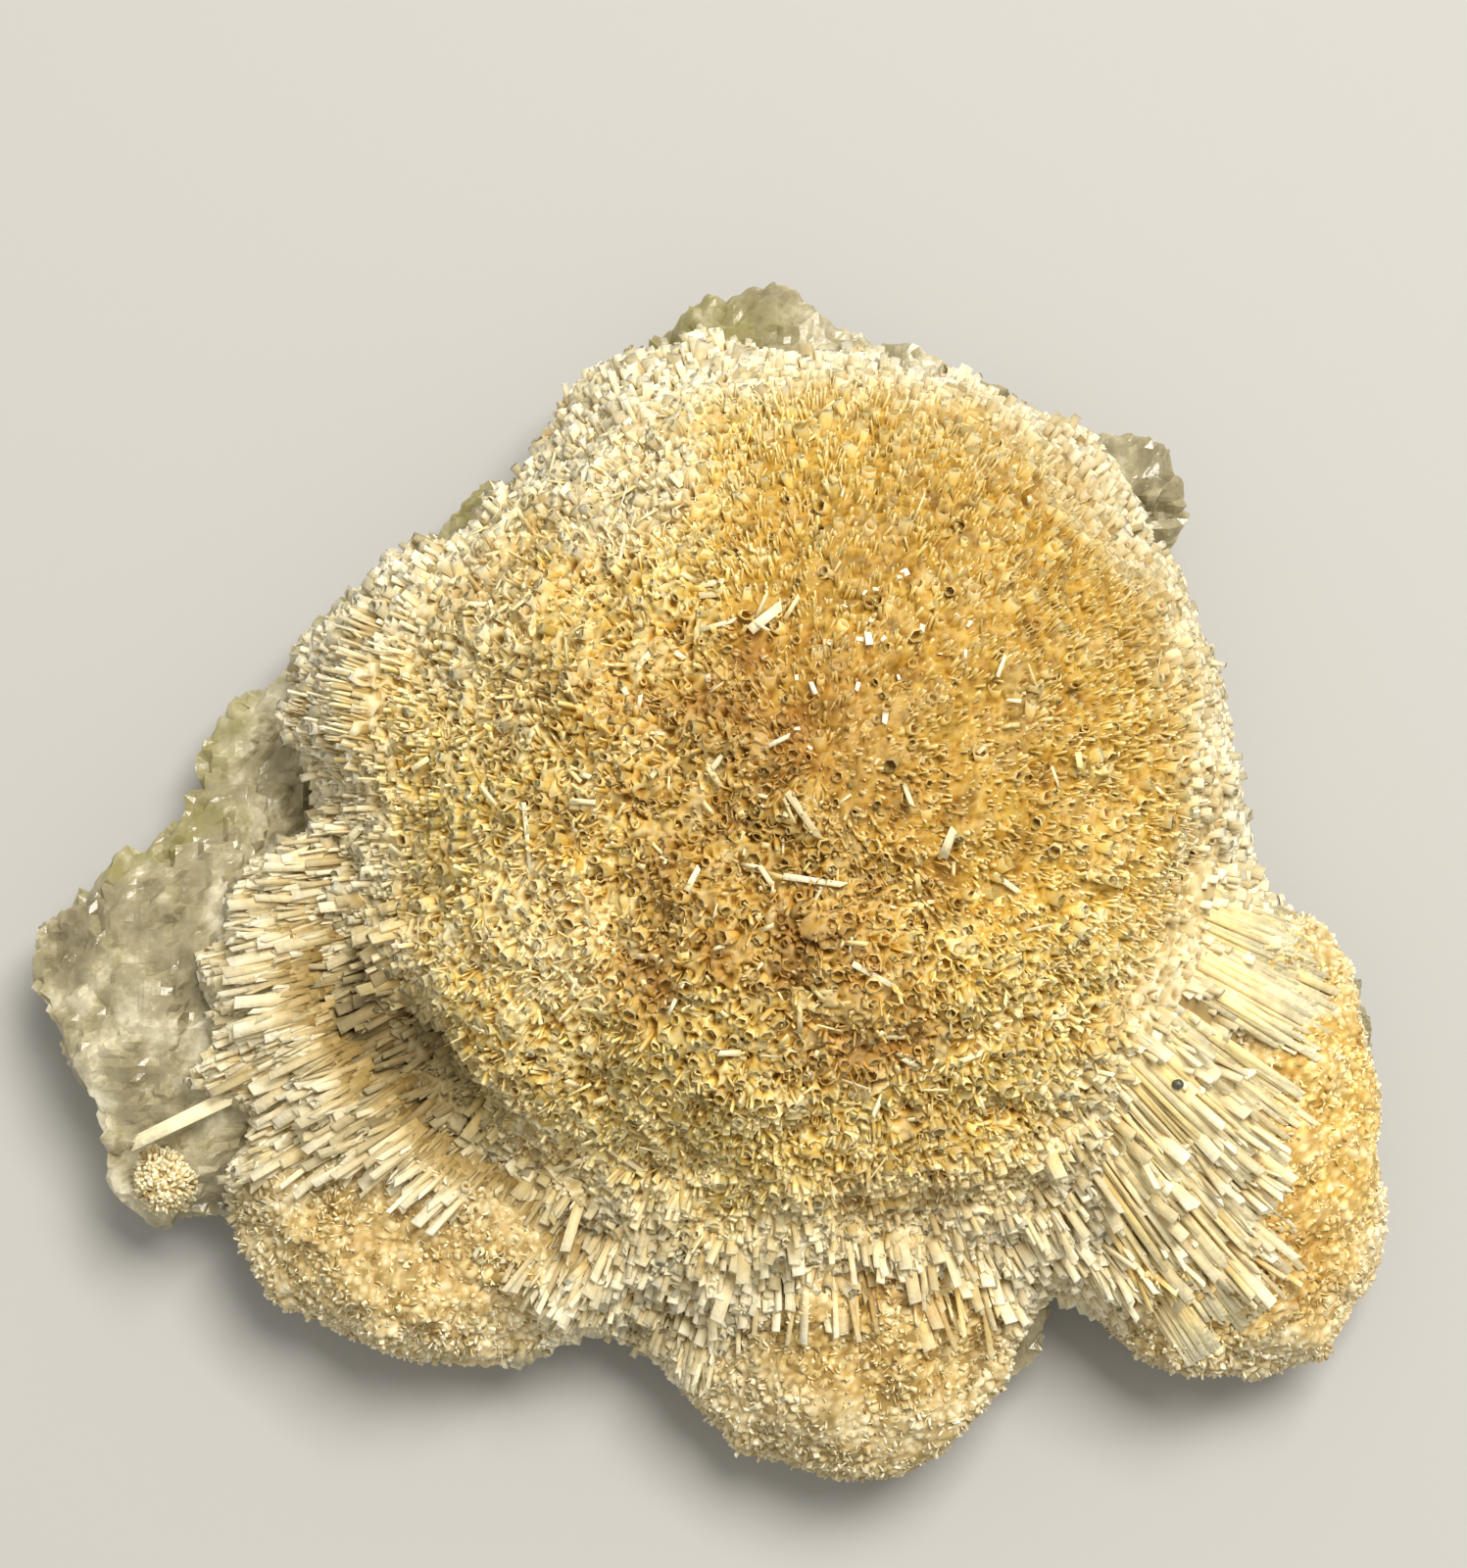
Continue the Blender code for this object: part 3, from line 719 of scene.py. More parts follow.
def makeSkirts(bed, tree, name, look, shape):
    dice = np.random.default_rng(look["seed"])
    places, facing = spotsOn(bed, look["tries"], dice)
    wanted = (facing[:, 2] > -0.1) & (onLobes(lobeShares(places)) < 0.5) & (places[:, 2] > bladesAbove)
    wanted &= (inAreas(places, bladeAreas, 0.25) > 0.45) == look["bladed"]
    reach = goldReach(places)
    if look["reach"] < 0.9:
        wanted &= (reach < 1.02) & (dice.random(len(places)) < easeBetween(reach, look["reach"], 0.95))
        wanted &= insideOval(places, popcornArea, 0.3) < 0.5
    else:
        wanted &= (reach > look["reach"]) | (facing[:, 2] < 0.5)
    wanted &= (facing[:, 2] > 0.6) | (dice.random(len(places)) < look["flank"])
    wanted &= dice.random(len(places)) < 0.35 + 0.65 * rowPhase(places)
    wanted &= (insideOval(places, fanArea, 0.2) < 0.5) | (dice.random(len(places)) < bladesOnFan)
    places, facing = places[wanted], facing[wanted]
    kept = spacedOut(places, look["gap"]) if look["gap"] else np.arange(len(places))
    kept = kept[:look["count"]]
    places, facing = places[kept], facing[kept]
    count = len(places)
    slants = np.radians(dice.uniform(*look["slant"], count))
    ways = unit((places - growthCentre) * (1.0, 1.0, 0.0))
    ways = ways * np.cos(slants)[:, None] + np.array((0.0, 0.0, 1.0)) * np.sin(slants)[:, None]
    fine = insideOval(places, fineArea, 0.4)
    ways = unit(ways + dice.normal(0.0, look["lean"], ways.shape) * (1.0 - 0.65 * fine)[:, None])
    steep = np.maximum((ways * facing).sum(axis=1), 0.12)
    rise = dice.uniform(*look["rise"], count) * (0.5 + 0.8 * rowPhase(places))
    lengths = np.clip(rise / steep, *look["length"])
    lengths = np.minimum(lengths, 1.3 + 9.0 * easeBetween(facing[:, 2], 0.55, 0.95)) + look["foot"]
    feet = places - ways * look["foot"]
    lengths = overBed(tree, feet, ways, lengths)
    widths = skewed(dice, count, *look["width"], power=1.6) * (1.0 - 0.55 * fine)
    depths = np.minimum(dice.uniform(*look["depth"], count), widths)
    spins = dice.normal(0.0, look["spin"], count) + math.pi * dice.integers(0, 2, count)
    sizes = (widths, depths, lengths, spins)
    return growCrystals(name, shape, feet, ways, straightUp(count), sizes, zoneMarks(places, dice))


# short grains that cover the lobes like sugar

grainLook = {
    "count": 8000,
    "tries": 60000,
    "width": (0.14, 0.5),
    "flat": (0.2, 0.5),
    "foot": 0.5,
    "rise": (0.15, 0.75),
    "lowerOnRight": 0.25,
    "lean": 1.1,
}


def makeGrains(bed, shape):
    dice = np.random.default_rng(15)
    places, facing, ways, shares = growthSpots(bed, grainLook["tries"], dice)
    wanted = (onLobes(shares) >= 0.5) & (facing[:, 2] > -0.6)
    chosen = np.flatnonzero(wanted)[:grainLook["count"]]
    places, facing = places[chosen], facing[chosen]
    ways = jittered(ways[chosen], grainLook["lean"], dice)
    count = len(places)
    widths = skewed(dice, count, *grainLook["width"])
    rise = dice.uniform(*grainLook["rise"], count)
    rise *= 1.0 - grainLook["lowerOnRight"] * shares["right"][chosen]
    depths = widths * dice.uniform(*grainLook["flat"], count)
    sizes = (widths, depths, rise + grainLook["foot"], dice.uniform(0.0, math.pi, count))
    feet = places - ways * grainLook["foot"]
    return growCrystals("lobe_grains", shape, feet, ways, facing, sizes, zoneMarks(places, dice))


# long smooth blades that fan out over the right lobe

fanLook = {
    "count": 1700,
    "angles": (-57.0, -10.0),
    "footReach": 30.0,
    "front": ((-57.0, 40.5), (-44.0, 42.8), (-28.0, 45.0), (-20.0, 47.0), (-10.0, 42.5)),  # angles, tips' x
    "farthest": 52.0,
    "behind": 11.0,
    "length": (2.5, 13.0),
    "width": (0.22, 0.7),
    "depth": (0.2, 0.4),
    "over": (0.1, 0.55),
    "under": 0.4,
    "ragged": 1.3,
    "gaps": (14.0, 0.14, -0.3),  # how fast they change across and along the fan, and how seldom they are
    "spin": 0.12,
    "cream": (0.58, 0.12),
    "stain": 0.3,
}


def surfaceHeight(tree, x, y):
    spot = tree.ray_cast(Vector((x * mm, y * mm, 0.08)), Vector((0.0, 0.0, -1.0)))[0]
    return spot.z / mm if spot else None


def makeFan(tree, shape):
    dice = np.random.default_rng(16)
    turning, reaching, least = fanLook["gaps"]
    front = list(zip(*fanLook["front"]))
    feet, tips = [], []
    for _ in range(fanLook["count"]):
        angle = math.radians(dice.uniform(*fanLook["angles"]))
        out = np.array((math.cos(angle), math.sin(angle)))
        tipX = np.interp(math.degrees(angle), *front) - fanLook["behind"] * dice.random() ** 1.4
        tipX += dice.normal(0.0, fanLook["ragged"])
        reach = min((tipX - growthCentre[0]) / out[0], fanLook["farthest"])
        if noise.noise(Vector((angle * turning, reach * reaching, 4.0))) < least:
            continue
        tip = growthCentre[:2] + out * reach
        length = min(dice.uniform(*fanLook["length"]), reach - fanLook["footReach"])
        if length < fanLook["length"][0]:
            continue
        foot = tip - out * length
        heights = surfaceHeight(tree, *tip), surfaceHeight(tree, *foot)
        if None in heights:
            continue
        tips.append((*tip, heights[0] + dice.uniform(*fanLook["over"])))
        feet.append((*foot, heights[1] - fanLook["under"] * dice.random()))
    feet, tips = np.array(feet), np.array(tips)
    count = len(feet)
    lengths = np.linalg.norm(tips - feet, axis=1)
    widths = skewed(dice, count, *fanLook["width"], power=1.5)
    depths = dice.uniform(*fanLook["depth"], count)
    sizes = (widths, depths, lengths, dice.normal(0.0, fanLook["spin"], count))
    marks = zoneMarks(tips, dice)
    marks["tint_and_painted_shading"] = 0.45 + 0.6 * (marks["tint_and_painted_shading"] - 0.2)  # lighter and more even than the other crystals
    marks["cream"] = np.clip(dice.normal(*fanLook["cream"], count), 0.0, 1.0)
    marks["stain"] *= fanLook["stain"]
    points, faces, along = shape
    pale = (points, faces, 0.6 + 0.4 * along)
    return growCrystals("right_fan_blades", pale, feet, unit(tips - feet), straightUp(count), sizes, marks)


# splinters that lie loose on the crystals: the larger ones each at its own place, as foot, tip and width

looseLook = {
    "count": 850,
    "tries": 12000,
    "length": (0.5, 2.4),
    "width": (0.14, 0.5),
    "flat": (0.15, 0.4),
    "over": (0.3, 1.2),
    "tilt": (-0.2, 0.8),
    "cream": (0.35, 0.25),
    "tint_and_painted_shading": (0.3, 0.85),
    "area": (6.0, 8.0, 30.0, 31.0, 0),
    "fewerInFur": 0.85,
    "glints": 170,  # short glassy chips near the top, whose bright colour is a painted highlight
    "glintWidth": (0.25, 0.6),
    "glintLength": 0.45,
    "glintArea": (12.7, 14.5, 7.5, 5.5, 20),
    "large": (
        ((-16.3, 5.8), (-13.6, 3.8), 0.7), ((-13.9, 4.4), (-13.4, -0.6), 0.4),
        ((5.5, 4.2), (7.8, 0.9), 0.7), ((2.8, 16.3), (5.1, 18.2), 1.0),
        ((16.8, -0.3), (17.6, 1.7), 0.9), ((-0.8, 16.5), (1.7, 17.0), 0.45),
        ((10.2, -8.1), (13.2, -9.6), 0.55), ((5.2, -1.8), (9.6, -2.5), 0.6),
        ((17.2, -15.0), (19.9, -14.0), 0.6), ((-7.1, 21.4), (-6.5, 24.5), 0.35),
        ((-1.8, -2.8), (-0.9, -1.1), 0.6), ((-38.4, 1.1), (-31.6, 3.0), 1.0),
        ((-28.7, 3.3), (-27.0, 4.7), 0.9), ((-33.8, 3.1), (-31.6, 4.3), 0.6),
        ((-38.0, -16.0), (-32.8, -13.1), 1.3), ((-13.1, -22.0), (-9.4, -21.0), 0.6),
        ((-8.0, -20.3), (-5.3, -22.1), 0.5), ((20.9, 13.0), (21.5, 14.6), 0.4),
    ),
    "largeWidth": 0.8,
    "largeDepth": 0.16,
    "largeOver": 1.1,
    "largeCream": 0.7,
    "pastBed": 10.0,  # the height of an end that lies past the bed
    "corner": ((-36.5, -15.6, 13.4), (-44.4, -19.6, 14.4), 1.2, 0.35),  # foot, tip, width and depth
}


def largeSplinters(tree):  # their feet, tips, widths and depths
    rows = []
    for first, second, width in looseLook["large"]:
        heights = [surfaceHeight(tree, *spot) or looseLook["pastBed"] for spot in (first, second)]
        ends = [(*spot, height + looseLook["largeOver"]) for spot, height in zip((first, second), heights)]
        rows.append((*ends, width * looseLook["largeWidth"], min(looseLook["largeDepth"], width)))
    rows.append(looseLook["corner"])
    return [np.array(column) for column in zip(*rows)]


def makeLoose(bed, tree, shape):
    dice = np.random.default_rng(17)
    places, facing = spotsOn(bed, looseLook["tries"], dice)
    onDome = insideOval(places, looseLook["area"], 0.2) > 0.5
    onDome &= dice.random(len(places)) > looseLook["fewerInFur"] * insideOval(places, furArea, 0.2)
    nearTop = insideOval(places, looseLook["glintArea"], 0.6) > dice.random(len(places))
    chips = np.flatnonzero(onDome & nearTop)[:looseLook["glints"]]
    chosen = np.concatenate([chips, np.flatnonzero(onDome & ~nearTop)[:looseLook["count"]]])
    glints = np.arange(len(chips))
    places, facing = places[chosen], facing[chosen]
    count = len(places)
    level = np.cross(facing, dice.normal(0.0, 1.0, facing.shape))
    ways = unit(level + dice.uniform(*looseLook["tilt"], count)[:, None] * facing)
    lengths = skewed(dice, count, *looseLook["length"])
    feet = places + facing * dice.uniform(*looseLook["over"], count)[:, None]
    widths = dice.uniform(*looseLook["width"], count)
    depths = widths * dice.uniform(*looseLook["flat"], count)
    widths[glints] = dice.uniform(*looseLook["glintWidth"], len(glints))
    lengths[glints] *= looseLook["glintLength"]
    largeFeet, largeTips, largeWidths, largeDepths = largeSplinters(tree)
    largeLengths = np.linalg.norm(largeTips - largeFeet, axis=1)
    feet = np.vstack([feet, largeFeet])
    ways = np.vstack([ways, unit(largeTips - largeFeet)])
    facing = np.vstack([facing, straightUp(len(largeFeet))])
    columns = ((widths, largeWidths), (depths, largeDepths), (lengths, largeLengths))
    sizes = (*(np.concatenate(pair) for pair in columns), np.zeros(len(feet)))
    creams = (dice.normal(*looseLook["cream"], count), np.full(len(largeFeet), looseLook["largeCream"]))
    marks = {
        "cream": np.clip(np.concatenate(creams), 0.0, 1.0),
        "stain": np.zeros(len(feet)),
        "tint_and_painted_shading": dice.uniform(*looseLook["tint_and_painted_shading"], len(feet)),
    }
    # the glint chips get the highest tint and the palest colour, a painted highlight
    marks["tint_and_painted_shading"][glints] = 1.0
    marks["cream"][glints] = 1.0
    points, faces, along = shape
    pale = (points, faces, np.full(len(along), 0.95))
    return growCrystals("loose_splinters", pale, feet, ways, facing, sizes, marks)


# dark grains of dirt that lie in the crystals at the foot of the fan

speckLook = {
    "spots": ((34.9, -15.8, 0.95), (37.0, -9.4, 0.35), (38.1, -10.4, 0.3), (39.2, -11.6, 0.3)),  # x, y, width
    "over": 1.3,
    "colour": (0.045, 0.045, 0.03),
}


def makeSpecks(tree):
    deselectAll()
    for x, y, width in speckLook["spots"]:
        height = surfaceHeight(tree, x, y) + speckLook["over"]
        place = (x * mm, y * mm, height * mm)
        bpy.ops.mesh.primitive_ico_sphere_add(
            subdivisions=2, radius=width / 2 * mm, location=place, scale=(1.0, 0.9, 0.8)
        )
        setMode("EDIT")
        bpy.ops.transform.vertex_random(offset=0.05 * width * mm, seed=3)
        setMode("OBJECT")
    grains = [piece for piece in bpy.data.objects if piece.name.startswith("Icosphere")]
    makeActive(grains[0])
    for grain in grains:
        grain.select_set(True)
    bpy.ops.object.join()
    specks = bpy.context.active_object
    specks.name = "dark_specks"
    bpy.ops.object.transform_apply(location=True, rotation=True, scale=True)
    specks.data.shade_smooth()
    return specks


def speckFinish(look):
    material, tree, shader = newMaterial("dark_grain")
    place = addNode(tree, "ShaderNodeTexCoord", -900, 0).outputs["Object"]
    mottle = addNoise(tree, -700, 0, {"Vector": place, "Scale": 3000.0, "Detail": 2.0})
    light = tuple(3.0 * value for value in look["colour"])
    body = addRamp(tree, -500, 0, ((0.35, look["colour"]), (0.7, light)), mottle)
    setInputs(tree, shader, {"Base Color": body, "Roughness": 0.4})
    return material


# the small growth on the corner

clusterLook = {
    "grain": 0.4,
    "body": {"drawnIn": 0.45, "footDown": 0.7, "lumps": ((1.2, 0.25),)},
    "marks": {"along": 0.3, "across": 0.0, "tint_and_painted_shading": 0.5, "cream": 0.8, "stain": 0.05},
    "needles": 900,
    "width": (0.16, 0.34),
    "flat": 0.8,
    "foot": 0.4,
    "rise": (0.2, 0.8),
    "lean": 0.25,
    "cream": (0.5, 1.0),
}


def makeCluster(shape):
    cluster = copyOfNode("corner_cluster", "corner_growth")
    applyModifier(cluster, "REMESH", mode="VOXEL", voxel_size=clusterLook["grain"] * mm)
    applyModifier(cluster, "SMOOTH", factor=0.5, iterations=3)
    drawIn(cluster, clusterLook["body"])
    corners = len(cluster.data.vertices)
    addMarks(cluster.data, {name: np.full(corners, value) for name, value in clusterLook["marks"].items()})
    cluster.data.shade_smooth()
    dice = np.random.default_rng(18)
    places, facing = spotsOn(cluster, clusterLook["needles"], dice)
    ways = jittered(facing, clusterLook["lean"], dice)
    count = len(places)
    widths = dice.uniform(*clusterLook["width"], count)
    lengths = dice.uniform(*clusterLook["rise"], count) + clusterLook["foot"]
    marks = {
        "cream": dice.uniform(*clusterLook["cream"], count),
        "stain": np.zeros(count),
        "tint_and_painted_shading": dice.random(count),
    }
    sizes = (widths, widths * clusterLook["flat"], lengths, dice.uniform(0.0, math.pi, count))
    feet = places - ways * clusterLook["foot"]
    return cluster, growCrystals("corner_needles", shape, feet, ways, facing, sizes, marks)


# the quartz: the same piece of rock with broken, stepped facets

rockLook = {
    "grain": 0.6,
    "smoothing": 2,
    "facets": ((5.0, 0.45, 0.4), (2.0, 0.55, 0.35)),  # size, tilt and step of each layer
    "most": 0.55,
    "flatBelow": (0.2, 1.6),  # the facets fade out between these heights, towards the flat underside
}


def makeRock():
    rock = copyOfNode("quartz_matrix", "quartz_rock")
    applyModifier(rock, "REMESH", mode="VOXEL", voxel_size=rockLook["grain"] * mm)
    applyModifier(rock, "SMOOTH", factor=0.5, iterations=rockLook["smoothing"])
    points, normals = readShape(rock)
    shifts = np.zeros(len(points))
    for size, tilt, step in rockLook["facets"]:
        for index, point in enumerate(points):
            place = Vector(point) / size
            nearest = noise.voronoi(place)[1][0]
            leaning = (place - nearest).dot(noise.cell_vector(nearest * 7.3))
            shifts[index] += tilt * size * 0.5 * leaning + step * (noise.cell(nearest * 3.7) - 0.5)
    shifts = np.clip(shifts, -2.0 * rockLook["most"], rockLook["most"])
    points += normals * (shifts * easeBetween(points[:, 2], *rockLook["flatBelow"]))[:, None]
    points[:, 2] = np.maximum(points[:, 2], 0.0)
    writeShape(rock, points)
    rock.data.shade_flat()
    print("rock", len(rock.data.polygons), "faces")
    return rock


# finishes

def setInputs(tree, node, inputs):  # another node's socket is linked, and a value is set
    for name, value in inputs.items():
        if isinstance(value, bpy.types.NodeSocket):
            tree.links.new(value, node.inputs[name])
        else:
            node.inputs[name].default_value = value


def addNode(tree, kind, x, y, inputs=None, **values):
    node = tree.nodes.new(kind)
    node.location = (x, y)
    for name, value in values.items():
        setattr(node, name, value)
    setInputs(tree, node, inputs or {})
    return node


def addNoise(tree, x, y, inputs, **values):
    return addNode(tree, "ShaderNodeTexNoise", x, y, inputs, **values).outputs["Fac"]


def addMaths(tree, x, y, operation, first, second):
    return addNode(tree, "ShaderNodeMath", x, y, {0: first, 1: second}, operation=operation).outputs[0]


def addBump(tree, x, y, height, strength, distance):
    inputs = {"Strength": strength, "Distance": distance, "Height": height}
    return addNode(tree, "ShaderNodeBump", x, y, inputs).outputs["Normal"]


def addRamp(tree, x, y, stops, factor):
    node = addNode(tree, "ShaderNodeValToRGB", x, y, {0: factor})
    while len(node.color_ramp.elements) < len(stops):
        node.color_ramp.elements.new(0.5)
    for element, (position, colour) in zip(node.color_ramp.elements, stops):
        element.position = position
        element.color = (*colour, 1.0)
    return node.outputs[0]


def mixColours(tree, x, y, first, second, factor, blend="MIX"):
    inputs = {6: first, 7: second, 0: factor}
    return addNode(tree, "ShaderNodeMix", x, y, inputs, data_type="RGBA", blend_type=blend).outputs[2]


def newMaterial(name):
    material = bpy.data.materials.new(name)
    material.use_nodes = True
    return material, material.node_tree, material.node_tree.nodes["Principled BSDF"]


crystalLook = {  # gold and cream go from a crystal's foot to its tip, darker at the foot for iron staining together with painted shade of the gaps between crystals, and lights scale the colour by its tint, a random tone that also carries the painted shade and painted light of the zone marks and the glint chips' painted highlight
    "gold": (
        (0.0, (0.37, 0.18, 0.012)), (0.4, (0.63, 0.39, 0.05)),
        (0.8, (0.87, 0.65, 0.19)), (1.0, (0.98, 0.86, 0.47)),
    ),
    "cream": (
        (0.0, (0.47, 0.34, 0.13)), (0.35, (0.71, 0.59, 0.34)),
        (0.75, (0.88, 0.79, 0.55)), (1.0, (0.97, 0.92, 0.73)),
    ),
    "lights": (
        (0.0, (0.28, 0.24, 0.16)), (0.2, (0.68, 0.63, 0.50)),
        (0.7, (1.0, 1.0, 1.0)), (1.0, (1.22, 1.2, 1.15)),
    ),
    "clouds": ((0.3, (0.86, 0.84, 0.8)), (0.7, (1.08, 1.08, 1.08))),
    "streaks": ((0.32, (0.95, 0.94, 0.92)), (0.62, (1.03, 1.03, 1.03))),
    "streakScale": 6.0,
    "stain": (0.43, 0.19, 0.03, 1.0),
    "stainMost": 0.75,
    "roughness": 0.45,
    "glassyRoughness": 0.1,
    "glassyFrom": (0.9, 0.93),
    "shine": 0.18,
    "translucence": 0.22,
    "scatter": (1.0, 0.8, 0.55),
    "scatterReach": 0.3,
}


def crystalFinish(name, look):
    material, tree, shader = newMaterial(name)
    along, cream, stain, tint_and_painted_shading, across = (
        addNode(tree, "ShaderNodeAttribute", -1500, 300 - 200 * row, attribute_name=mark).outputs["Fac"]
        for row, mark in enumerate(("along", "cream", "stain", "tint_and_painted_shading", "across"))
    )
    place = addNode(tree, "ShaderNodeTexCoord", -1500, -800).outputs["Object"]
    gold = addRamp(tree, -1200, 400, look["gold"], along)
    pale = addRamp(tree, -1200, 150, look["cream"], along)
    stained = addMaths(tree, -1200, -100, "MULTIPLY", stain, look["stainMost"])
    lights = addRamp(tree, -1200, -300, look["lights"], tint_and_painted_shading)
    mottle = addNoise(tree, -1200, -600, {"Vector": place, "Scale": 900.0, "Detail": 3.0})
    clouds = addRamp(tree, -900, -600, look["clouds"], mottle)
    ownLines = addMaths(tree, -1200, -900, "MULTIPLY", tint_and_painted_shading, 400.0)
    lineAt = addMaths(tree, -1050, -900, "ADD", across, ownLines)
    lines = {"W": lineAt, "Scale": look["streakScale"], "Detail": 1.0}
    lines = addNoise(tree, -900, -900, lines, noise_dimensions="1D")
    streaks = addRamp(tree, -700, -900, look["streaks"], lines)
    body = mixColours(tree, -850, 300, gold, pale, cream)
    body = mixColours(tree, -650, 300, body, look["stain"], stained)
    for x, shade in ((-450, lights), (-300, clouds), (-150, streaks)):
        body = mixColours(tree, x, 300, body, shade, 1.0, "MULTIPLY")
    start, end = look["glassyFrom"]
    glassy = {"Value": tint_and_painted_shading, "From Min": start, "From Max": end}
    glassy |= {"To Min": look["roughness"], "To Max": look["glassyRoughness"]}
    sugar = addNoise(tree, -900, -1150, {"Vector": place, "Scale": 2200.0, "Detail": 2.0})
    setInputs(tree, shader, {
        "Base Color": body,
        "Roughness": addNode(tree, "ShaderNodeMapRange", -600, -250, glassy).outputs["Result"],
        "Normal": addBump(tree, -400, -1150, sugar, 0.4, 0.0002),
        "IOR": 1.53,
        "Specular IOR Level": look["shine"],
        "Subsurface Weight": look["translucence"],
        "Subsurface Radius": look["scatter"],
        "Subsurface Scale": look["scatterReach"] * mm,
    })
    return material


quartzLook = {
    "body": ((0.33, (0.20, 0.17, 0.095)), (0.51, (0.39, 0.345, 0.21)), (0.69, (0.82, 0.77, 0.58))),
    "rind": (0.29, 0.26, 0.095, 1.0),
    "veils": 160.0,
    "frost": (0.35, 0.65),
    "roughness": (0.08, 0.42),
    "translucence": 0.35,
    "scatter": (1.0, 0.9, 0.65),
    "scatterReach": 1.5,
}


def quartzFinish(look):
    material, tree, shader = newMaterial("cloudy_quartz")
    place = addNode(tree, "ShaderNodeTexCoord", -1500, 0).outputs["Object"]
    veils = {"Vector": place, "Scale": look["veils"], "Detail": 6.0, "Roughness": 0.65}
    veils = addNoise(tree, -1200, 200, veils)
    rind = addNode(tree, "ShaderNodeAttribute", -1200, -100, attribute_name="rind").outputs["Fac"]
    body = addRamp(tree, -900, 200, look["body"], veils)
    frost = dict(zip(("From Min", "From Max", "To Min", "To Max"), look["frost"] + look["roughness"]))
    frost = addNode(tree, "ShaderNodeMapRange", -700, -200, {"Value": veils} | frost)
    grain = addNoise(tree, -900, -450, {"Vector": place, "Scale": 1500.0, "Detail": 4.0})
    setInputs(tree, shader, {
        "Base Color": mixColours(tree, -500, 150, body, look["rind"], rind),
        "Roughness": frost.outputs["Result"],
        "Normal": addBump(tree, -400, -400, grain, 0.35, 0.0003),
        "IOR": 1.544,
        "Subsurface Weight": look["translucence"],
        "Subsurface Radius": look["scatter"],
        "Subsurface Scale": look["scatterReach"] * mm,
    })
    return material


rindAreas = (  # where the quartz has a yellow-green crust
    (-47, 3, 10, 1.5, 24, 1),
    (-39.5, 13, 1.6, 9, -25, 0.9),
    (-24, 29.5, 14, 3, 42, 0.9),
    (38.8, 33, 1, 5, 10, 0.8),
    (-3, 45.5, 8, 4, 0, 0.95),
)


def markRind(rock):
    points, _ = readShape(rock)
    rind = inAreas(points + 1.5 * wandering(points, 3.0, 1.0, 2.0), rindAreas, 0.4)
    addMarks(rock.data, {"rind": np.clip(rind * (0.7 + 0.6 * rolling(points, 1.5, 3.0)), 0.0, 1.0)})


# camera, light and floor

cameraLook = {
    "aim": (1.6, 8.7, 12.0),
    "distance": 320.0,
    "elevation": 81.0,
    "lens": 93.6,
}

lightLook = {
    "aim": (0.0, 0.0, 15.0),
    "from": (0.26, 0.32, 0.91),
    "distance": 900.0,
    "size": 0.42,
    "power": 9.7,
    "colour": (1.0, 0.965, 0.91),
    "around": 0.54,
    "aroundColour": (1.0, 0.965, 0.88),
}


def setCamera():
    elevation = math.radians(cameraLook["elevation"])
    back = Vector((0.0, -math.cos(elevation), math.sin(elevation)))
    camera = newPiece("camera", bpy.data.cameras.new("camera"))
    camera.data.lens = cameraLook["lens"]
    camera.data.sensor_width = 36.0
    camera.data.clip_start = 0.01
    camera.location = (Vector(cameraLook["aim"]) + back * cameraLook["distance"]) * mm
    camera.rotation_euler = (math.radians(90.0) - elevation, 0.0, 0.0)
    bpy.context.scene.camera = camera


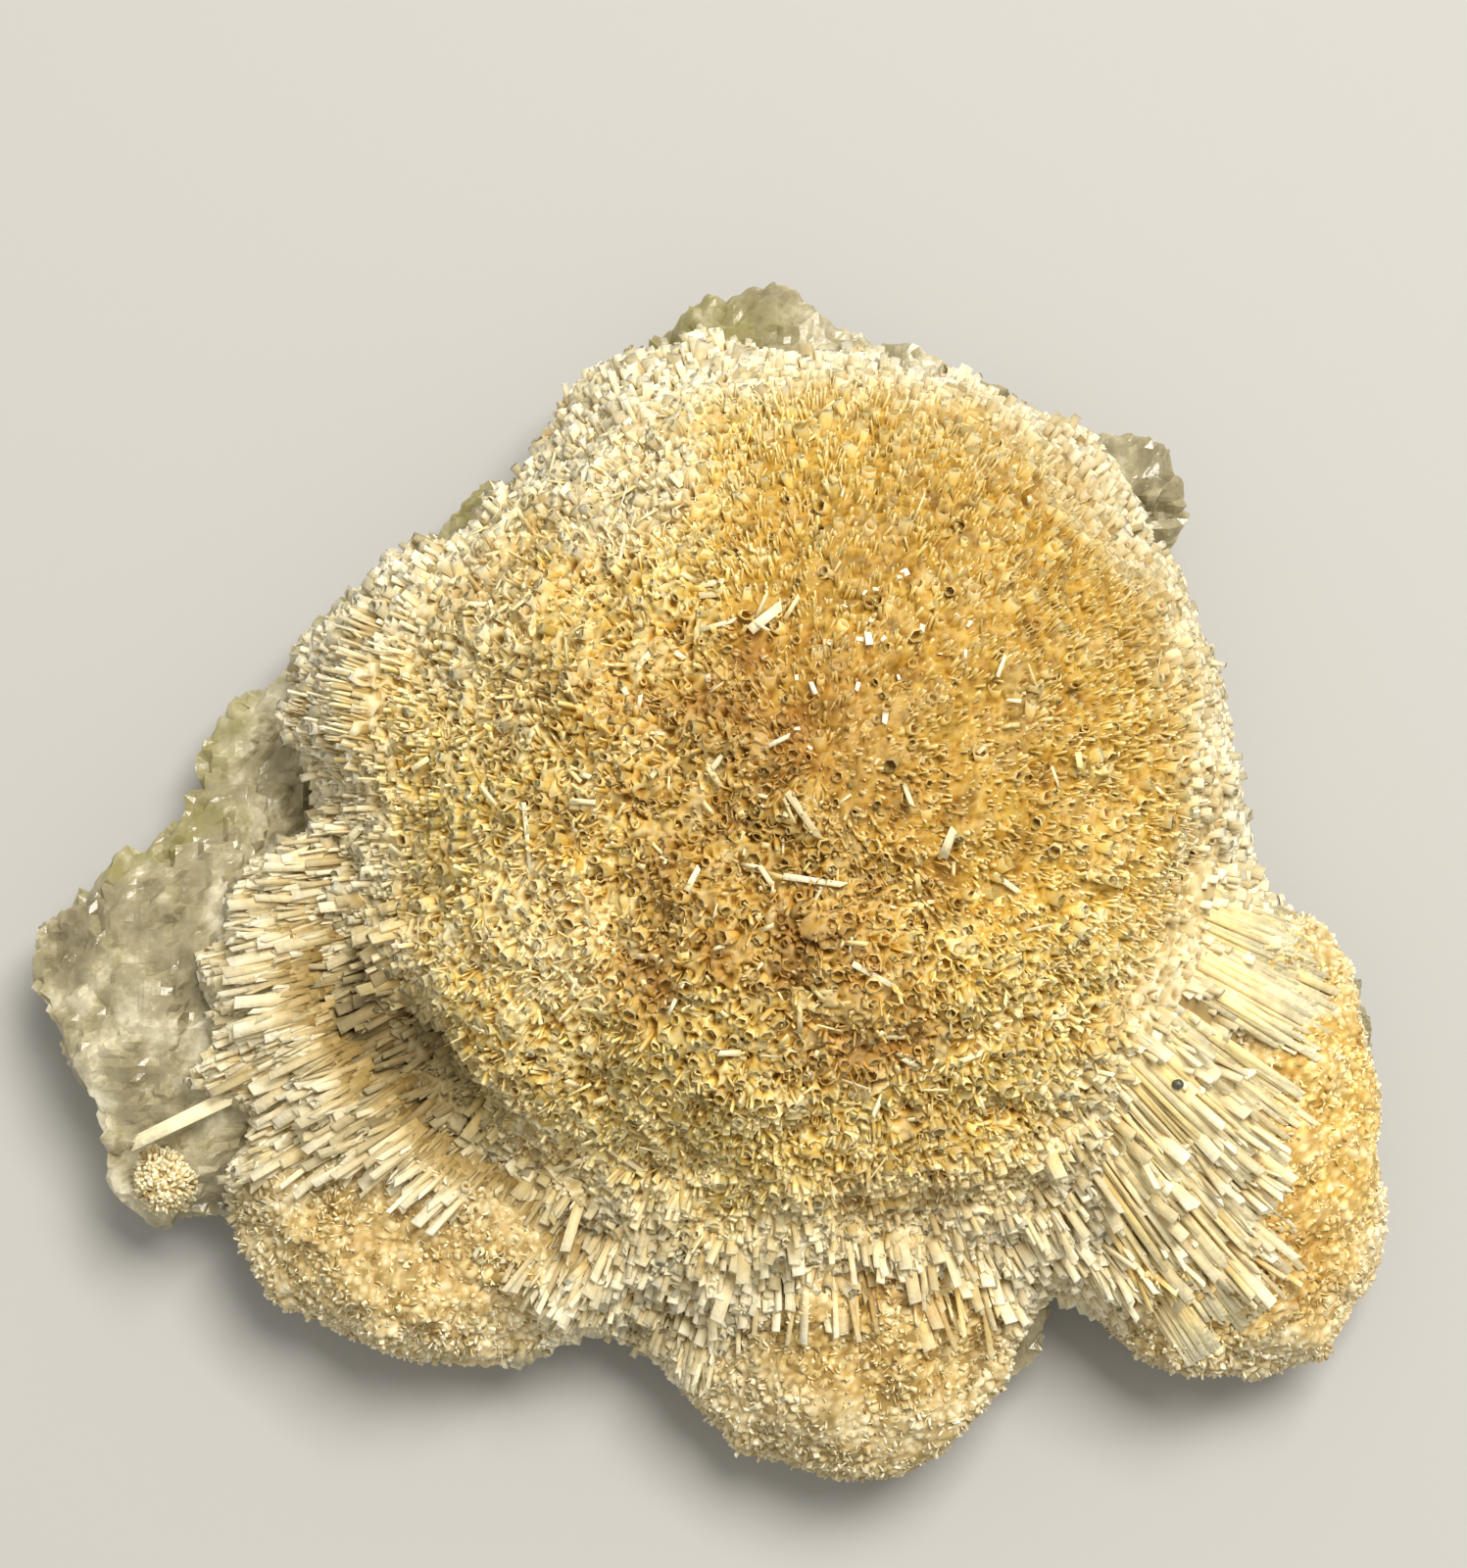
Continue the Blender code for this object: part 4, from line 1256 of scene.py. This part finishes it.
def setLight():
    bpy.context.scene.view_settings.view_transform = "Standard"
    lamp = bpy.data.lights.new("window", "AREA")
    lamp.shape = "SQUARE"
    lamp.size = lightLook["size"]
    lamp.energy = lightLook["power"]
    lamp.color = lightLook["colour"]
    holder = newPiece("window", lamp)
    way = Vector(lightLook["from"]).normalized()
    holder.location = (Vector(lightLook["aim"]) + way * lightLook["distance"]) * mm
    holder.rotation_euler = way.to_track_quat("Z", "Y").to_euler()
    world = bpy.data.worlds.new("room")
    world.use_nodes = True
    background = world.node_tree.nodes["Background"]
    background.inputs["Color"].default_value = (*lightLook["aroundColour"], 1.0)
    background.inputs["Strength"].default_value = lightLook["around"]
    bpy.context.scene.world = world


def layFloor():
    deselectAll()
    bpy.ops.mesh.primitive_plane_add(size=3.0, location=(0.0, 0.0, 0.0))
    floor = bpy.context.active_object
    floor.name = "floor"
    material, tree, shader = newMaterial("pale_floor")
    setInputs(tree, shader, {"Base Color": (0.46, 0.455, 0.44, 1.0), "Roughness": 0.85})
    floor.data.materials.append(material)


# put it together

def buildSpecimen():
    crystal = crystalFinish("thomsonite_crystal", crystalLook)
    plain = crystalShape(0.93, slant=0.03)
    pointed = crystalShape(0.6)
    chipped = crystalShape(0.85, slant=0.15)
    pitted = crystalShape(0.96, {"wall": tubeLook["wall"], "depth": tubeLook["pitDepth"]})
    bed = makeBed()
    tree = BVHTree.FromObject(bed, bpy.context.evaluated_depsgraph_get())
    pieces = []
    for (name, look), chooseFaces in zip(spongeLooks.items(), (openPart, furPart, lobeTops)):
        pieces.append(makeSponge(bed, name, look, chooseFaces))
    pieces.append(makeTubes(bed, pitted))
    for name, look in needleLooks.items():
        pieces.append(makeNeedles(bed, name, look, plain if name == "rim_needles" else pointed))
    for name, look in skirtLooks.items():
        pieces.append(makeSkirts(bed, tree, name, look, chipped if name == "skirt_blades" else plain))
    pieces.append(makeGrains(bed, plain))
    pieces.append(makeFan(tree, plain))
    pieces.append(makeLoose(bed, tree, chipped))
    for piece in (bed, *pieces):
        finishPiece(piece, crystal, "thomsonite", "thomsonite_sphere")
    finishPiece(makeSpecks(tree), speckFinish(speckLook), "thomsonite", "thomsonite_sphere")
    cluster, needles = makeCluster(plain)
    finishPiece(cluster, crystal, "thomsonite", "corner_cluster")
    finishPiece(needles, crystal, "thomsonite", "corner_cluster")
    rock = makeRock()
    markRind(rock)
    finishPiece(rock, quartzFinish(quartzLook), "quartz", "quartz_matrix")


buildSpecimen()
layFloor()
setCamera()
setLight()
deselectAll()
print("camera and light set")
